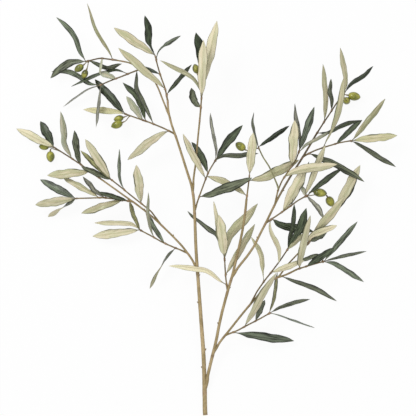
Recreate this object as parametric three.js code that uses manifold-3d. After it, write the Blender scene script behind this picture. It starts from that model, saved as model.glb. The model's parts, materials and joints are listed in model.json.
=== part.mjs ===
// An olive branch with fruit, cut from the tree and lying on a table.
// Millimetres, +Z up. While it is being built, the cut end of the main stem is at x = y = 0, the branch
// grows along +Y and the table is z = 0. At the end the whole branch is moved, so that its origin is
// the centre of its box, at table height.
//
// The branch is made of four kinds of piece:
//   wood         brown limbs, each with the place on an older limb that it forks from
//   leafy tips   a young green twig with the leaves that grow on it, one grown piece
//   leaves       a few leaves that grow straight out of old wood
//   olives       a fruit with its stalk
import * as THREE from "three";
import { mergeVertices } from "three/addons/utils/BufferGeometryUtils.js";
import Module from "manifold-3d";

const wasm = await Module();
wasm.setup();

// ---- driving dimensions -------------------------------------------------------------------------
const GAP = 0.3; // between two pieces that touch
const WOOD_STEP = 26; // distance between two sections of a limb
const PETIOLE_RADIUS = 1.0; // stalk of a leaf
const PETIOLE_SHARE = 0.08; // share of a leaf's length that is stalk
const LEAF_THICKNESS = 1.1; // along the midrib
const LEAF_FOLD = 0.16; // depth of a leaf's channel along its midrib, as a share of half the width
const LEAF_SPRING = 0.05; // how far a leaf without bends arches up, as a share of its length
const STALK_RADIUS = 1.0; // stalk of an olive
const STALK_SIDES = 5;
const STALK_STEP = 9; // distance between two sections of it
const STALK_INSIDE = 0.42; // where it ends inside the olive, as a share of the length from the centre
const STALK_ABOVE = 0.7; // where it comes into line with the olive, as a share of the length
const OLIVE_SIDES = 10;
const TIP_RADIUS = [1.9, 1.5]; // of a leafy tip's twig, at both ends
const TIP_SIDES = 6;
const LIMB_SIDES = 6; // of a limb that states no other number
const TWIG_SAMPLES = 200; // places that are tried for the nearest one on a twig
const UPPER = 0; // the dark upper face looks up
const UNDER = 180; // the pale underside looks up

// Sections of a leaf blade: share of the length, and share of the full width there.
const BLADE = [
  [0.2, 0.55],
  [0.36, 0.88],
  [0.54, 1.0],
  [0.72, 0.93],
  [0.88, 0.6],
];

const BARK = { color: 0x8f7650, roughness: 0.85, metalness: 0 };
const LEAF = { color: 0x55654f, roughness: 0.55, metalness: 0 };
const OLIVE = { color: 0x8f9a3c, roughness: 0.35, metalness: 0 };

// ---- the branch ---------------------------------------------------------------------------------
// A limb: the limb that it forks from, its centre line, and its radius at both ends.
const limbs = {
  main_stem: {
    route: [
      [0, 0, 4.7], [-1, 62, 6], [-3, 122, 11], [-8, 192, 20], [-13, 262, 29], [-18, 332, 36],
      [-21, 408, 41], [-25, 454, 45], [-35, 486, 49], [-47, 524, 55], [-59, 561, 60],
      [-71, 596, 64], [-75, 632, 66],
    ],
    radius: [4.6, 2.0],
    sides: 10,
  },
  centre_limb: {
    from: "main_stem",
    route: [[-25, 452, 44.8], [-23, 474, 49], [-18, 510, 56], [-15, 548, 62], [-11, 586, 67],
      [-8.5, 614, 70]],
    radius: [2.3, 1.9],
  },
  left_outer_limb: {
    from: "main_stem",
    route: [[-73, 605, 65], [-82, 626, 63], [-95, 659, 58], [-108, 682, 54], [-128, 696, 50],
      [-156, 708, 47],
      [-180, 712, 44]],
    radius: [2.1, 1.6],
  },
  left_side_limb: {
    from: "main_stem",
    route: [[-16, 296, 32.4], [-30, 319, 38], [-46, 340, 43], [-68, 363, 48], [-92, 386, 52],
      [-107, 400, 53], [-130, 418, 53], [-148, 431, 52], [-168, 445, 50], [-200, 468, 45],
      [-228, 487, 40]],
    radius: [2.7, 1.7],
  },
  right_limb: {
    from: "main_stem",
    route: [[-1, 56, 6], [6, 82, 11], [14, 116, 18], [22, 148, 25], [30, 190, 35], [39, 226, 42],
      [46, 252, 47], [54, 278, 51], [63, 316, 56], [72, 356, 60], [79, 396, 64], [83, 434, 67]],
    radius: [3.6, 2.2],
    sides: 8,
  },
  right_leader: {
    from: "right_limb",
    route: [[54, 280, 51.4], [73, 306, 56], [94, 332, 60], [108, 360, 63], [123, 389, 66],
      [142, 428, 69],
      [164, 468, 70], [190, 509, 69], [210, 542, 64], [221, 561, 60.6]],
    radius: [2.7, 1.9],
  },
  lower_right_limb: {
    from: "right_limb",
    route: [[19, 132, 21.5], [26, 142, 24], [42, 163, 31], [56, 180, 38], [76, 206, 46], [94, 227, 52],
      [118, 255, 58], [130, 269, 60], [142, 277, 60], [164, 283, 57], [186, 294, 51]],
    radius: [2.7, 1.8],
  },
  far_right_twig: {
    from: "lower_right_limb",
    route: [[147, 277, 59.3], [160, 297, 60], [173, 311, 59], [187, 326, 56], [205, 343, 51]],
    radius: [1.9, 1.6],
  },
};

// A leaf: where its stalk leaves the twig, its tip, the face that looks up, its full width, and how
// far it is tilted about its length. bends are places that it passes, with or without a height.
// twist is how much further the tip is turned than the base. fold is the depth of its channel.
const leaf = (at, tip, face, width, tilt, more = {}) => ({ at, tip, face, width, tilt, ...more });

// A leafy tip: the limb that it grows from, its own centre line, and its leaves.
const leafyTips = {
  centre_tip: {
    from: "centre_limb",
    route: [[-8.5, 614, 70], [-7, 636, 72], [-4, 664, 73]],
    leaves: [
      leaf([-8, 616], [-27, 656, 60], UPPER, 15, 20, { bends: [[-21, 629]] }),
      leaf([-7, 636], [-3, 750, 120], UNDER, 18, 0),
      leaf([-6, 644], [-90, 710, 84], UNDER, 14, 50, { bends: [[-20, 671], [-36, 682], [-50, 690]] }),
      leaf([-4, 662], [24, 789, 94], UNDER, 19, 0),
      leaf([-5, 658], [-18, 766, 82], UPPER, 22, 0, { bends: [[-2, 698], [-5, 720], [-13, 745]] }),
    ],
  },
  left_leader_tip: {
    from: "main_stem",
    route: [[-75, 632, 66], [-81, 660, 66], [-90, 683, 64], [-96, 705, 60], [-100, 722, 57]],
    leaves: [
      leaf([-77, 642], [-26, 703, 62], UPPER, 14, 50),
      leaf([-79, 654], [-173, 735, 88], UNDER, 15.5, 5, { bends: [[-129, 697]] }),
      leaf([-91, 683], [-126, 699, 50], UPPER, 10, 10),
      leaf([-100, 721], [-182, 776, 62], UNDER, 17, 0),
      leaf([-99, 720], [-120, 800, 84], UPPER, 13, 0, { bends: [[-112, 748], [-113, 772]] }),
      leaf([-97, 712], [-48, 760, 66], UPPER, 13, 60, { bends: [[-92, 730], [-78, 742]] }),
    ],
  },
  left_outer_tip: {
    from: "left_outer_limb",
    route: [[-180, 712, 44], [-208, 716, 42], [-226, 714, 41], [-239, 709, 40]],
    leaves: [
      leaf([-184, 713], [-235, 824, 76], UNDER, 14, 60,
        { bends: [[-196, 734], [-211, 756], [-224, 782]], twist: 22, fold: 0.6 }),
      leaf([-206, 716], [-210, 686, 57], UNDER, 9, 50),
      leaf([-238, 710], [-297, 797, 60], UPPER, 14, 40,
        { bends: [[-250, 728], [-256, 748], [-268, 770]] }),
      leaf([-239, 709], [-310, 676, 22], UPPER, 15, 0, { bends: [[-266, 708], [-286, 698]] }),
      leaf([-234, 711], [-166, 705, 30], UPPER, 14, 50, { bends: [[-216, 704], [-196, 696]] }),
    ],
  },
  left_spur: {
    from: "left_outer_limb",
    route: [[-126, 695, 50.4], [-140, 690, 48], [-156, 683, 46], [-186, 672, 42], [-212, 661, 38]],
    leaves: [
      leaf([-156, 683], [-268, 659, 34], UPPER, 13.5, 58,
        { bends: [[-172, 692, 42], [-196, 689, 38], [-226, 679, 35]] }),
      leaf([-178, 675], [-213, 688, 48], UNDER, 14, 30),
      leaf([-211, 661], [-308, 690, 8], UPPER, 14, 42,
        { bends: [[-234, 666], [-250, 678, 18], [-270, 688]] }),
      leaf([-211, 661], [-285, 619, 8], UPPER, 13, 72, { bends: [[-232, 655], [-252, 643]] }),
      leaf([-209, 662], [-218, 577, 50], UPPER, 14, 62, { bends: [[-213, 622]] }),
    ],
  },
  lower_left_twig: {
    from: "main_stem",
    route: [[-60, 564, 60.4], [-80, 574, 58], [-100, 583, 55], [-120, 590, 51], [-140, 597, 46],
      [-162, 605, 40]],
    leaves: [
      leaf([-72, 570], [-155, 512, 42], UNDER, 17, 15, { bends: [[-92, 561]] }),
      leaf([-103, 584], [-136, 690, 60], UPPER, 15, 52,
        { bends: [[-116, 612], [-128, 636], [-137, 658]] }),
      leaf([-118, 590], [-165, 667, 34], UPPER, 15, 30, { bends: [[-134, 636]] }),
      leaf([-124, 591], [-157, 639, 68], UNDER, 15, 25),
      leaf([-160, 604], [-244, 613, 18], UNDER, 15, 30, { bends: [[-182, 609]] }),
      leaf([-160, 604], [-221, 674, 20], UPPER, 17, 10),
    ],
  },
  inner_right_twig: {
    from: "main_stem",
    route: [[-20, 414, 41.3], [-15, 429, 44], [-10, 443, 47], [-5, 456, 50], [3, 479, 55],
      [15, 503, 60],
      [22, 513, 62]],
    leaves: [
      leaf([-12, 438], [94, 476, 90], UPPER, 18.5, 8,
        { bends: [[10, 443, 54], [30, 451, 64], [50, 458, 74]] }),
      leaf([2, 474], [-44, 564, 88], UNDER, 15, 30, { bends: [[-6, 488], [-16, 508], [-32, 536]] }),
      leaf([6, 485], [-27, 548, 34], UPPER, 14, 15, { bends: [[-2, 508], [-12, 528]] }),
      leaf([21, 511], [11, 606, 94], UPPER, 14, 60, { bends: [[23, 530], [19, 552], [13, 582]] }),
      leaf([22, 513], [75, 581, 80], UPPER, 16, 8, { bends: [[44, 546]] }),
      leaf([20, 510], [107, 525, 50], UPPER, 16, 52, { bends: [[36, 520], [60, 520]] }),
    ],
  },
  right_limb_tip: {
    from: "right_limb",
    route: [[83, 434, 67], [86, 456, 69], [89, 484, 71]],
    leaves: [
      leaf([81, 440], [4, 479, 50], UNDER, 15, 30, { bends: [[62, 456], [40, 467], [24, 474]] }),
      leaf([88, 470], [188, 512, 58], UNDER, 19, 8, { bends: [[120, 478], [146, 490]] }),
      leaf([89, 482], [96, 566, 100], UNDER, 18, 0),
    ],
  },
  middle_spur: {
    from: "right_limb",
    route: [[45.5, 250, 46.7], [43, 264, 49], [41, 280, 51], [40, 298, 54], [39, 318, 58]],
    leaves: [
      leaf([42.6, 268], [-73, 300, 40], UNDER, 15, 45,
        { bends: [[30, 269], [18, 280], [0, 291], [-18, 294], [-50, 298]] }),
      leaf([41, 282], [100, 384, 40], UNDER, 16, 30),
      leaf([39.3, 312], [106, 425, 38], UNDER, 18, 0, { bends: [[42, 343], [54, 367], [76, 390]] }),
      leaf([39, 316], [-35, 410, 26], UPPER, 14, 52,
        { bends: [[22, 364, 48], [4, 376], [-10, 388], [-24, 398]] }),
      leaf([39, 317], [17, 429, 68], UNDER, 16, 38, { twist: 20, fold: 0.5 }),
      leaf([39, 318], [28, 402, 96], UNDER, 21, 0),
    ],
  },
  right_inner_tip: {
    from: "right_leader",
    route: [[141, 425, 69], [144, 446, 72], [149, 462, 74], [162, 483, 76], [177, 505, 76],
      [186, 518, 75],
      [189, 532, 74]],
    leaves: [
      leaf([158, 477], [264, 503, 90], UNDER, 20, 30, { bends: [[178, 489, 84]] }),
      leaf([173, 499], [179, 591, 106], UNDER, 19, 0),
      leaf([189, 528], [179, 624, 84], UPPER, 14, 52,
        { bends: [[190, 552], [187.5, 568], [182, 592]] }),
      leaf([189, 531], [218, 618, 94], UPPER, 14, 15),
      leaf([188, 527], [255, 570, 64], UNDER, 13, 58,
        { bends: [[200, 541, 76], [222, 553, 71], [240, 563, 68]] }),
    ],
  },
  slender_twig: {
    from: "right_inner_tip",
    route: [[147, 456, 73.2], [140, 472, 77], [128, 499, 79], [114, 520, 80], [106, 538, 81]],
    leaves: [
      leaf([107, 535], [97, 606, 98], UPPER, 13, 64, { bends: [[99, 565], [95, 584]] }),
      leaf([106, 537], [169, 580, 68], UPPER, 15, 50),
    ],
  },
  right_leader_tip: {
    from: "right_leader",
    route: [[221, 561, 60.6], [232, 579, 58], [244, 595, 55], [256, 616, 52], [268, 632, 50],
      [280, 647, 48]],
    leaves: [
      leaf([224, 566], [315, 592, 38], UPPER, 14, 52, { bends: [[246, 566], [272, 580]] }),
      leaf([238, 588], [235, 703, 82], UNDER, 16, 48, { bends: [[241, 632]] }),
      leaf([253, 611], [252, 674, 66], UPPER, 14, 50, { bends: [[254, 628], [250, 648]] }),
      leaf([279, 646], [270, 736, 64], UNDER, 15, 46, { bends: [[282, 668], [278, 692]] }),
      leaf([279, 648], [337, 700, 40], UPPER, 14, 50,
        { bends: [[289, 660], [298, 668], [310, 675.5], [322, 684]] }),
    ],
  },
  far_right_spur: {
    from: "right_leader",
    route: [[196, 519, 67.5], [206, 527, 66], [224, 532, 62], [240, 538, 58], [260, 543, 52],
      [280, 550, 47],
      [295, 551, 43]],
    leaves: [
      leaf([206, 527], [319, 468, 42], UPPER, 15, 32,
        { bends: [[226, 517, 60], [256, 505, 54], [282, 491]] }),
      leaf([237, 537], [276, 674, 84], UNDER, 14, 84,
        { bends: [[244, 554, 64], [252, 568, 70], [259, 588], [267, 612], [271, 632]], twist: -100 }),
      leaf([261, 544], [314, 591, 62], UPPER, 15, 42,
        { bends: [[272, 553], [284, 565], [294, 575], [304, 583]] }),
      leaf([294, 551], [385, 561, 34], UNDER, 16, 12),
      leaf([295, 551], [360, 634, 66], UNDER, 16, 42),
      leaf([292, 551], [383, 498, 12], UPPER, 14, 45, { bends: [[306, 544], [318, 537], [346, 519]] }),
    ],
  },
  right_side_twig: {
    from: "right_leader",
    route: [[120, 385, 65.7], [130, 393, 66], [146, 402, 66], [162, 413, 64], [176, 424, 61],
      [192, 435, 57],
      [208, 443, 52]],
    leaves: [
      leaf([133, 395], [217, 369, 44], UPPER, 17, 0, { bends: [[152, 382, 58]] }),
      leaf([130, 393], [147, 306, 76], UNDER, 14, 50, { bends: [[131, 370], [141, 350], [149, 328]] }),
      leaf([155, 408], [202, 496, 60], UNDER, 17, 25),
      leaf([172, 421], [208, 509, 78], UPPER, 15, 50, { bends: [[187, 454, 72]] }),
      leaf([206, 442], [276, 497, 38], UPPER, 15, 42, { bends: [[221, 456, 57]] }),
      leaf([200, 438], [240, 542, 70], UNDER, 16, 35),
      leaf([203, 440], [238, 394, 40], UPPER, 14, 48, { bends: [[226, 416]] }),
      leaf([202, 440], [193, 460, 60], UNDER, 9, 10),
    ],
  },
  centre_right_twig: {
    from: "lower_right_limb",
    route: [[92, 224, 51.4], [96, 236, 56], [110, 258, 62], [125, 279, 66], [143, 301, 69],
      [166, 335, 72]],
    leaves: [
      leaf([118, 269], [92, 358, 42], UNDER, 14, 50, { bends: [[115, 292, 58], [110, 328]] }),
      leaf([131, 287], [198, 311, 62], UNDER, 16, 42),
      leaf([165, 333], [178, 424, 84], UPPER, 14, 46, { bends: [[171, 362], [176.5, 386]] }),
      leaf([166, 334], [202, 416, 96], UPPER, 16.5, 8, { bends: [[178, 354], [188, 371], [194, 388]] }),
      leaf([164, 332], [204, 370, 80], UNDER, 13, 48),
    ],
  },
  far_right_tip: {
    from: "far_right_twig",
    route: [[205, 343, 51], [211, 352, 49], [222, 370, 46], [240, 392, 42], [260, 408, 38]],
    leaves: [
      leaf([208, 348], [244, 366, 36], UPPER, 12, 25),
      leaf([206, 344], [264, 381, 64], UNDER, 15, 25, { bends: [[212, 360], [226, 367], [242, 373]] }),
      leaf([213, 357], [279, 440, 64], UNDER, 17, 12,
        { bends: [[223, 371, 54], [244, 395, 60], [263, 418, 64]] }),
      leaf([259, 407], [311, 502, 28], UNDER, 18, 0),
      leaf([260, 408], [305, 476, 20], UPPER, 16, 20),
    ],
  },
  lower_right_tip: {
    from: "lower_right_limb",
    route: [[186, 294, 51], [202, 299, 47], [216, 303, 43], [226, 307, 40], [238, 309, 37]],
    leaves: [
      leaf([189, 295], [209.5, 401, 112], UNDER, 16, 28,
        { bends: [[190, 314, 80], [197, 350, 98], [203, 374, 107]] }),
      leaf([203, 299], [259, 336, 60], UPPER, 15, 25),
      leaf([236, 309], [183, 308, 40], UPPER, 10, 40, { bends: [[226, 322, 40], [211, 317, 41]] }),
      leaf([238, 309], [305, 389, 52], UPPER, 14, 38, { bends: [[260, 336], [274, 352]] }),
      leaf([237, 309], [324, 329, 36], UPPER, 13, 58, { bends: [[280, 320]] }),
      leaf([236, 309], [319, 267, 4], UPPER, 14, 40, { bends: [[260, 304], [280, 292]] }),
    ],
  },
  lowest_right_twig: {
    from: "lower_right_limb",
    beside: "right_limb",
    route: [[40, 161, 30.3], [58, 167, 33], [77, 177, 34], [96, 187, 34], [114, 196, 32],
      [132, 206.5, 29]],
    leaves: [
      leaf([57, 167], [179, 149, 8], UPPER, 17, 8),
      leaf([79, 178], [142, 286, 80], UNDER, 17, 32, { bends: [[101, 217, 62], [116, 246, 72]] }),
      leaf([101, 190], [120, 232, 42], UPPER, 13, 38),
      leaf([128, 204], [145, 288, 44], UPPER, 14, 58, { bends: [[137, 228], [141, 254]] }),
      leaf([131, 206], [211, 233, 20], UPPER, 14, 52, { bends: [[152, 217], [180, 226]] }),
      leaf([130, 205], [220, 175, 6], UPPER, 13, 72, { bends: [[147, 201], [180, 189]] }),
    ],
  },
  left_side_tip: {
    from: "left_side_limb",
    route: [[-228, 487, 40], [-250, 504, 35], [-278, 522, 28], [-303, 538, 22]],
    leaves: [
      leaf([-230, 489], [-316, 481, 34], UNDER, 18, 0),
      leaf([-248, 503], [-261, 571, 56], UPPER, 15, 28, { bends: [[-254, 518]] }),
      leaf([-266, 514], [-289, 609, 54], UNDER, 16, 42,
        { bends: [[-276, 532], [-282, 546], [-283, 574]] }),
      leaf([-302, 537], [-378, 575, 20], UNDER, 16, 0),
      leaf([-303, 538], [-330, 590, 14], UPPER, 17, 5),
    ],
  },
  left_upper_twig: {
    from: "left_side_limb",
    route: [[-93, 387, 52.1], [-100, 401, 55], [-114, 415, 57], [-136, 431, 58], [-154, 446, 57],
      [-170, 459, 54],
      [-188, 473, 50]],
    leaves: [
      leaf([-128, 425], [-137, 502, 84], UNDER, 18, 0),
      leaf([-162, 452], [-171, 533, 72], UPPER, 13, 60, { bends: [[-170, 474], [-171, 502]] }),
      leaf([-187, 472], [-248, 499, 52], UPPER, 15, 42),
      leaf([-186, 472], [-249, 531, 60], UPPER, 13, 35),
      leaf([-188, 473], [-239, 553, 80], UNDER, 17, 0),
    ],
  },
  left_lower_twig: {
    from: "left_side_limb",
    route: [[-146, 429, 52.2], [-160, 432, 51], [-174, 433, 49], [-190, 435, 47], [-210, 437, 43],
      [-242, 435, 36],
      [-260, 435, 31]],
    leaves: [
      leaf([-154, 431], [-215, 448, 58], UPPER, 14, 48),
      leaf([-164, 432], [-248, 405, 34], UNDER, 16, 28),
      leaf([-200, 436], [-245, 479, 28], UPPER, 13, 42, { bends: [[-222, 452], [-234, 467]] }),
      leaf([-212, 437], [-286, 478, 22], UNDER, 15, 40),
      leaf([-259, 435], [-331, 473, 10], UPPER, 16, 12),
      leaf([-258, 435], [-315, 398, 12], UPPER, 18, 25, { bends: [[-284, 419]], twist: 130 }),
      leaf([-260, 435], [-340, 422, 32], UNDER, 17, 0),
    ],
  },
  left_lowest_twig: {
    from: "left_side_limb",
    route: [[-36, 327, 40], [-54, 334, 40], [-76, 342, 37], [-90, 350, 34], [-104, 358, 31],
      [-131, 372, 26]],
    leaves: [
      leaf([-58, 335], [-111, 254, 10], UPPER, 16, 38,
        { bends: [[-70, 326], [-82, 310], [-94, 290]], twist: 105 }),
      leaf([-80, 344], [-119, 409, 40], UPPER, 14, 46, { bends: [[-100, 374]] }),
      leaf([-103, 357], [-113, 448, 86], UNDER, 13, 60, { bends: [[-112, 386, 56], [-114, 408, 70]] }),
      leaf([-129, 371], [-222, 386, 30], UNDER, 15, 48, { bends: [[-144, 382]] }),
      leaf([-130, 371], [-151, 430, 36], UPPER, 13, 48, { bends: [[-143, 402]] }),
      leaf([-131, 372], [-226, 359, 10], UNDER, 17, 0),
    ],
  },
};

// Leaves that grow straight out of old wood: the limb, and the leaf.
const loneLeaves = {
  lowest_leaf: { from: "lower_right_limb", ...leaf([152, 279], [264, 229, 10], UPPER, 14, 45,
    { bends: [[180, 269], [206, 260], [232, 248]] }) },
};

// An olive: the twig that it hangs from and the place there, its centre, its length and its diameter,
// and the way that it points, from its stalk to its far end.
const olives = {
  olive_right_long: {
    from: "right_leader_tip", at: [278, 645],
    centre: [299, 640, 9], size: [25, 17], points: [1, -0.18, 0.02],
  },
  olive_right_hanging: {
    from: "right_leader_tip", at: [275, 641],
    centre: [284, 631, 12], size: [24, 15], points: [0.1, -0.1, -1],
  },
  olive_side_upper: {
    from: "right_side_twig", at: [208, 443],
    centre: [230, 446.5, 42], size: [28, 17], points: [1, -0.15, -0.15],
  },
  olive_side_lower: {
    from: "right_side_twig", at: [196, 437], via: [219, 442, 28],
    centre: [251, 429, 22], size: [23, 17], points: [0.5, -0.85, -0.15],
  },
  olive_slender: {
    from: "slender_twig", at: [107, 536],
    centre: [71, 539, 56], size: [23, 16.5], points: [-0.8, 0.57, -0.25],
  },
  olive_centre: {
    from: "centre_tip", at: [-7, 636],
    centre: [-18, 694, 56], size: [20, 14], points: [-0.3, 1, -0.2],
  },
  olive_outer_left: {
    from: "left_outer_tip", at: [-236, 710],
    centre: [-252, 696, 40], size: [21, 14], points: [-0.85, -0.6, -0.1],
  },
  olive_outer_right: {
    from: "left_outer_tip", at: [-233, 711],
    centre: [-241, 684, 32], size: [20, 13], points: [-0.4, -0.9, -0.3],
  },
  olive_lower_left_back: {
    from: "lower_left_twig", at: [-154, 602],
    centre: [-173, 595, 26], size: [20, 13], points: [-0.95, -0.25, -0.1],
  },
  olive_lower_left_front: {
    from: "lower_left_twig", at: [-151, 601],
    centre: [-176, 583, 36], size: [24, 15.5], points: [-0.93, -0.35, 0],
  },
  olive_far_left: {
    from: "left_side_tip", at: [-298, 534],
    centre: [-323, 539, 7], size: [20, 13.5], points: [-1, 0.05, 0],
  },
  olive_far_left_large: {
    from: "left_side_tip", at: [-291, 530],
    centre: [-310, 519, 8.7], size: [22, 17], points: [0.05, -1, 0],
  },
};

// ---- helpers ------------------------------------------------------------------------------------
const UP = new THREE.Vector3(0, 0, 1);
const LATHE_AXIS = new THREE.Vector3(0, 1, 0);
const vector = (p) => new THREE.Vector3(p[0], p[1], p[2] ?? 0);
const curveThrough = (points) => new THREE.CatmullRomCurve3(points, false, "centripetal");

// A closed body through rings of points, with flat ends, or with a point at the far end.
function loft(rings, tip) {
  const count = rings[0].length;
  const points = rings.flat();
  const faces = [];
  for (let ring = 0; ring + 1 < rings.length; ring++) {
    for (let i = 0; i < count; i++) {
      const a = ring * count + i;
      const b = ring * count + ((i + 1) % count);
      faces.push(a, b, b + count, a, b + count, a + count);
    }
  }
  for (let i = 1; i + 1 < count; i++) faces.push(0, i + 1, i);
  const last = (rings.length - 1) * count;
  if (tip) {
    points.push(tip);
    for (let i = 0; i < count; i++) faces.push(last + i, last + ((i + 1) % count), points.length - 1);
  } else {
    for (let i = 1; i + 1 < count; i++) faces.push(last, last + i, last + i + 1);
  }
  const geometry = new THREE.BufferGeometry().setFromPoints(points);
  geometry.setIndex(faces);
  return geometry;
}

// A round limb along a route, with its radius going evenly from one end to the other.
function tube(route, [first, last], sides, step = WOOD_STEP, grow = 0) {
  const points = route.map(vector);
  const curve = curveThrough(points);
  if (grow > 0) {
    points.unshift(points[0].clone().addScaledVector(curve.getTangent(0), -grow));
    points.push(points[points.length - 1].clone().addScaledVector(curve.getTangent(1), grow));
  }
  const path = curveThrough(points);
  const steps = Math.max(2, Math.round(path.getLength() / step));
  const frames = path.computeFrenetFrames(steps, false);
  const rings = [];
  for (let k = 0; k <= steps; k++) {
    const centre = path.getPointAt(k / steps);
    const radius = THREE.MathUtils.lerp(first, last, k / steps) + grow;
    const ring = [];
    for (let i = 0; i < sides; i++) {
      const angle = (2 * Math.PI * i) / sides;
      ring.push(centre.clone()
        .addScaledVector(frames.normals[k], radius * Math.cos(angle))
        .addScaledVector(frames.binormals[k], radius * Math.sin(angle)));
    }
    rings.push(ring);
  }
  return loft(rings);
}

// The nearest place to (x, y) on a route's centre line.
function nearest(route, [x, y]) {
  const samples = curveThrough(route.map(vector)).getSpacedPoints(TWIG_SAMPLES);
  const distance = (p) => Math.hypot(p.x - x, p.y - y);
  return samples.reduce((best, p) => (distance(p) < distance(best) ? p : best));
}

// A leaf's midrib: from the twig, through the bends, to the tip. A bend without a height takes one
// in proportion to the way already gone.
function midrib(start, { tip, bends = [] }) {
  const end = vector(tip);
  const stops = [start, ...bends.map(vector), end];
  const gone = [0];
  for (let i = 1; i < stops.length; i++) {
    gone.push(gone[i - 1] + Math.hypot(stops[i].x - stops[i - 1].x, stops[i].y - stops[i - 1].y));
  }
  bends.forEach((bend, i) => {
    const share = gone[i + 1] / gone[gone.length - 1];
    if (bend.length < 3) stops[i + 1].z = THREE.MathUtils.lerp(start.z, end.z, share);
  });
  if (bends.length === 0) {
    const middle = start.clone().lerp(end, 0.5);
    middle.z += LEAF_SPRING * start.distanceTo(end);
    stops.splice(1, 0, middle);
  }
  return curveThrough(stops);
}

// One leaf: a petiole, and a blade with a channel along its upper face.
function leafGeometry(start, spec) {
  const path = midrib(start, spec);
  const section = (share, halfWidth, halfThickness, fold) => {
    const centre = path.getPointAt(share);
    const along = path.getTangentAt(share);
    const left = UP.clone().cross(along).normalize();
    const above = along.clone().cross(left);
    const roll = THREE.MathUtils.degToRad(spec.face + spec.tilt + (spec.twist ?? 0) * share);
    const across = left.clone().multiplyScalar(Math.cos(roll)).addScaledVector(above, Math.sin(roll));
    const upper = along.clone().cross(across);
    return [
      centre.clone().addScaledVector(across, halfWidth),
      centre.clone().addScaledVector(upper, halfThickness - fold),
      centre.clone().addScaledVector(across, -halfWidth),
      centre.clone().addScaledVector(upper, -halfThickness - fold),
    ];
  };
  const rings = [0, PETIOLE_SHARE].map((share) => section(share, PETIOLE_RADIUS, PETIOLE_RADIUS, 0));
  for (const [share, width] of BLADE) {
    const halfWidth = (width * spec.width) / 2;
    rings.push(section(share, halfWidth, LEAF_THICKNESS / 2, (spec.fold ?? LEAF_FOLD) * halfWidth));
  }
  return loft(rings, path.getPointAt(1));
}

// An olive lies along its own axis: a lathe turned to point the right way, and a stalk to the twig.
const OLIVE_PROFILE = [
  [-1, 0], [-0.88, 0.42], [-0.55, 0.82], [-0.05, 1], [0.45, 0.87], [0.82, 0.5], [1, 0],
];
function oliveGeometry({ centre, size: [length, diameter], points }) {
  const outline = OLIVE_PROFILE.map(
    ([along, out]) => new THREE.Vector2((out * diameter) / 2, (along * length) / 2),
  );
  const geometry = new THREE.LatheGeometry(outline, OLIVE_SIDES);
  const axis = vector(points).normalize();
  const turn = new THREE.Quaternion().setFromUnitVectors(LATHE_AXIS, axis);
  geometry.applyQuaternion(turn);
  return geometry.translate(...centre);
}

function oliveStalk(start, { via, centre, size: [length], points }) {
  const axis = vector(points).normalize();
  const inside = vector(centre).addScaledVector(axis, -STALK_INSIDE * length);
  const above = vector(centre).addScaledVector(axis, -STALK_ABOVE * length);
  const stations = [start.toArray(), ...(via ? [via] : []), above.toArray(), inside.toArray()];
  return tube(stations, [STALK_RADIUS, STALK_RADIUS], STALK_SIDES, STALK_STEP);
}

// A closed geometry as a solid for joining and cutting, and back.
function solid(geometry) {
  const bare = geometry.clone();
  bare.deleteAttribute("normal");
  bare.deleteAttribute("uv");
  const merged = mergeVertices(bare, 1e-3);
  const vertProperties = new Float32Array(merged.attributes.position.array);
  const triVerts = new Uint32Array(merged.index.array);
  return new wasm.Manifold(new wasm.Mesh({ numProp: 3, vertProperties, triVerts }));
}

function largest(body) {
  return body.decompose().reduce((best, part) => (part.volume() > best.volume() ? part : best));
}

function meshOf(name, body, finish) {
  const { vertProperties, triVerts } = largest(body).getMesh();
  const geometry = new THREE.BufferGeometry();
  geometry.setAttribute("position", new THREE.BufferAttribute(new Float32Array(vertProperties), 3));
  geometry.setIndex(new THREE.BufferAttribute(new Uint32Array(triVerts), 1));
  geometry.computeVertexNormals();
  const mesh = new THREE.Mesh(geometry, new THREE.MeshStandardMaterial(finish));
  mesh.name = name;
  return mesh;
}

// ---- assembly -----------------------------------------------------------------------------------
const twigs = {};
for (const [name, limb] of Object.entries(limbs)) twigs[name] = { sides: LIMB_SIDES, ...limb };
for (const [name, tip] of Object.entries(leafyTips)) {
  twigs[name] = { radius: TIP_RADIUS, sides: TIP_SIDES, ...tip };
}

const twigSolid = ({ route, radius, sides }) => solid(tube(route, radius, sides));
const roomFor = (name) => {
  const { route, radius, sides } = twigs[name];
  return solid(tube(route, radius, sides, WOOD_STEP, GAP));
};

// A limb or twig, cut back to fit round the one that it forks from, and round the one beside it.
function forked(twig) {
  let body = twigSolid(twig);
  for (const other of [twig.from, twig.beside]) {
    if (other) body = body.subtract(roomFor(other));
  }
  return largest(body);
}

const branch = new THREE.Group();
for (const name of Object.keys(limbs)) branch.add(meshOf(name, forked(twigs[name]), BARK));

for (const [name, tip] of Object.entries(leafyTips)) {
  let body = forked(twigs[name]);
  for (const spec of tip.leaves) {
    const start = nearest(tip.route, spec.at);
    body = body.add(solid(leafGeometry(start, spec)));
  }
  branch.add(meshOf(name, body, LEAF));
}

for (const [name, spec] of Object.entries(loneLeaves)) {
  const start = nearest(twigs[spec.from].route, spec.at);
  branch.add(meshOf(name, solid(leafGeometry(start, spec)).subtract(roomFor(spec.from)), LEAF));
}

for (const [name, spec] of Object.entries(olives)) {
  const start = nearest(twigs[spec.from].route, spec.at);
  const stalk = solid(oliveStalk(start, spec)).subtract(roomFor(spec.from));
  branch.add(meshOf(name, solid(oliveGeometry(spec)).add(stalk), OLIVE));
}

const box = new THREE.Box3().setFromObject(branch);
const middle = box.getCenter(new THREE.Vector3());
branch.position.set(-middle.x, -middle.y, -box.min.z);

const group = new THREE.Group();
group.add(branch);
group.updateMatrixWorld(true);

export default group;
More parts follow.
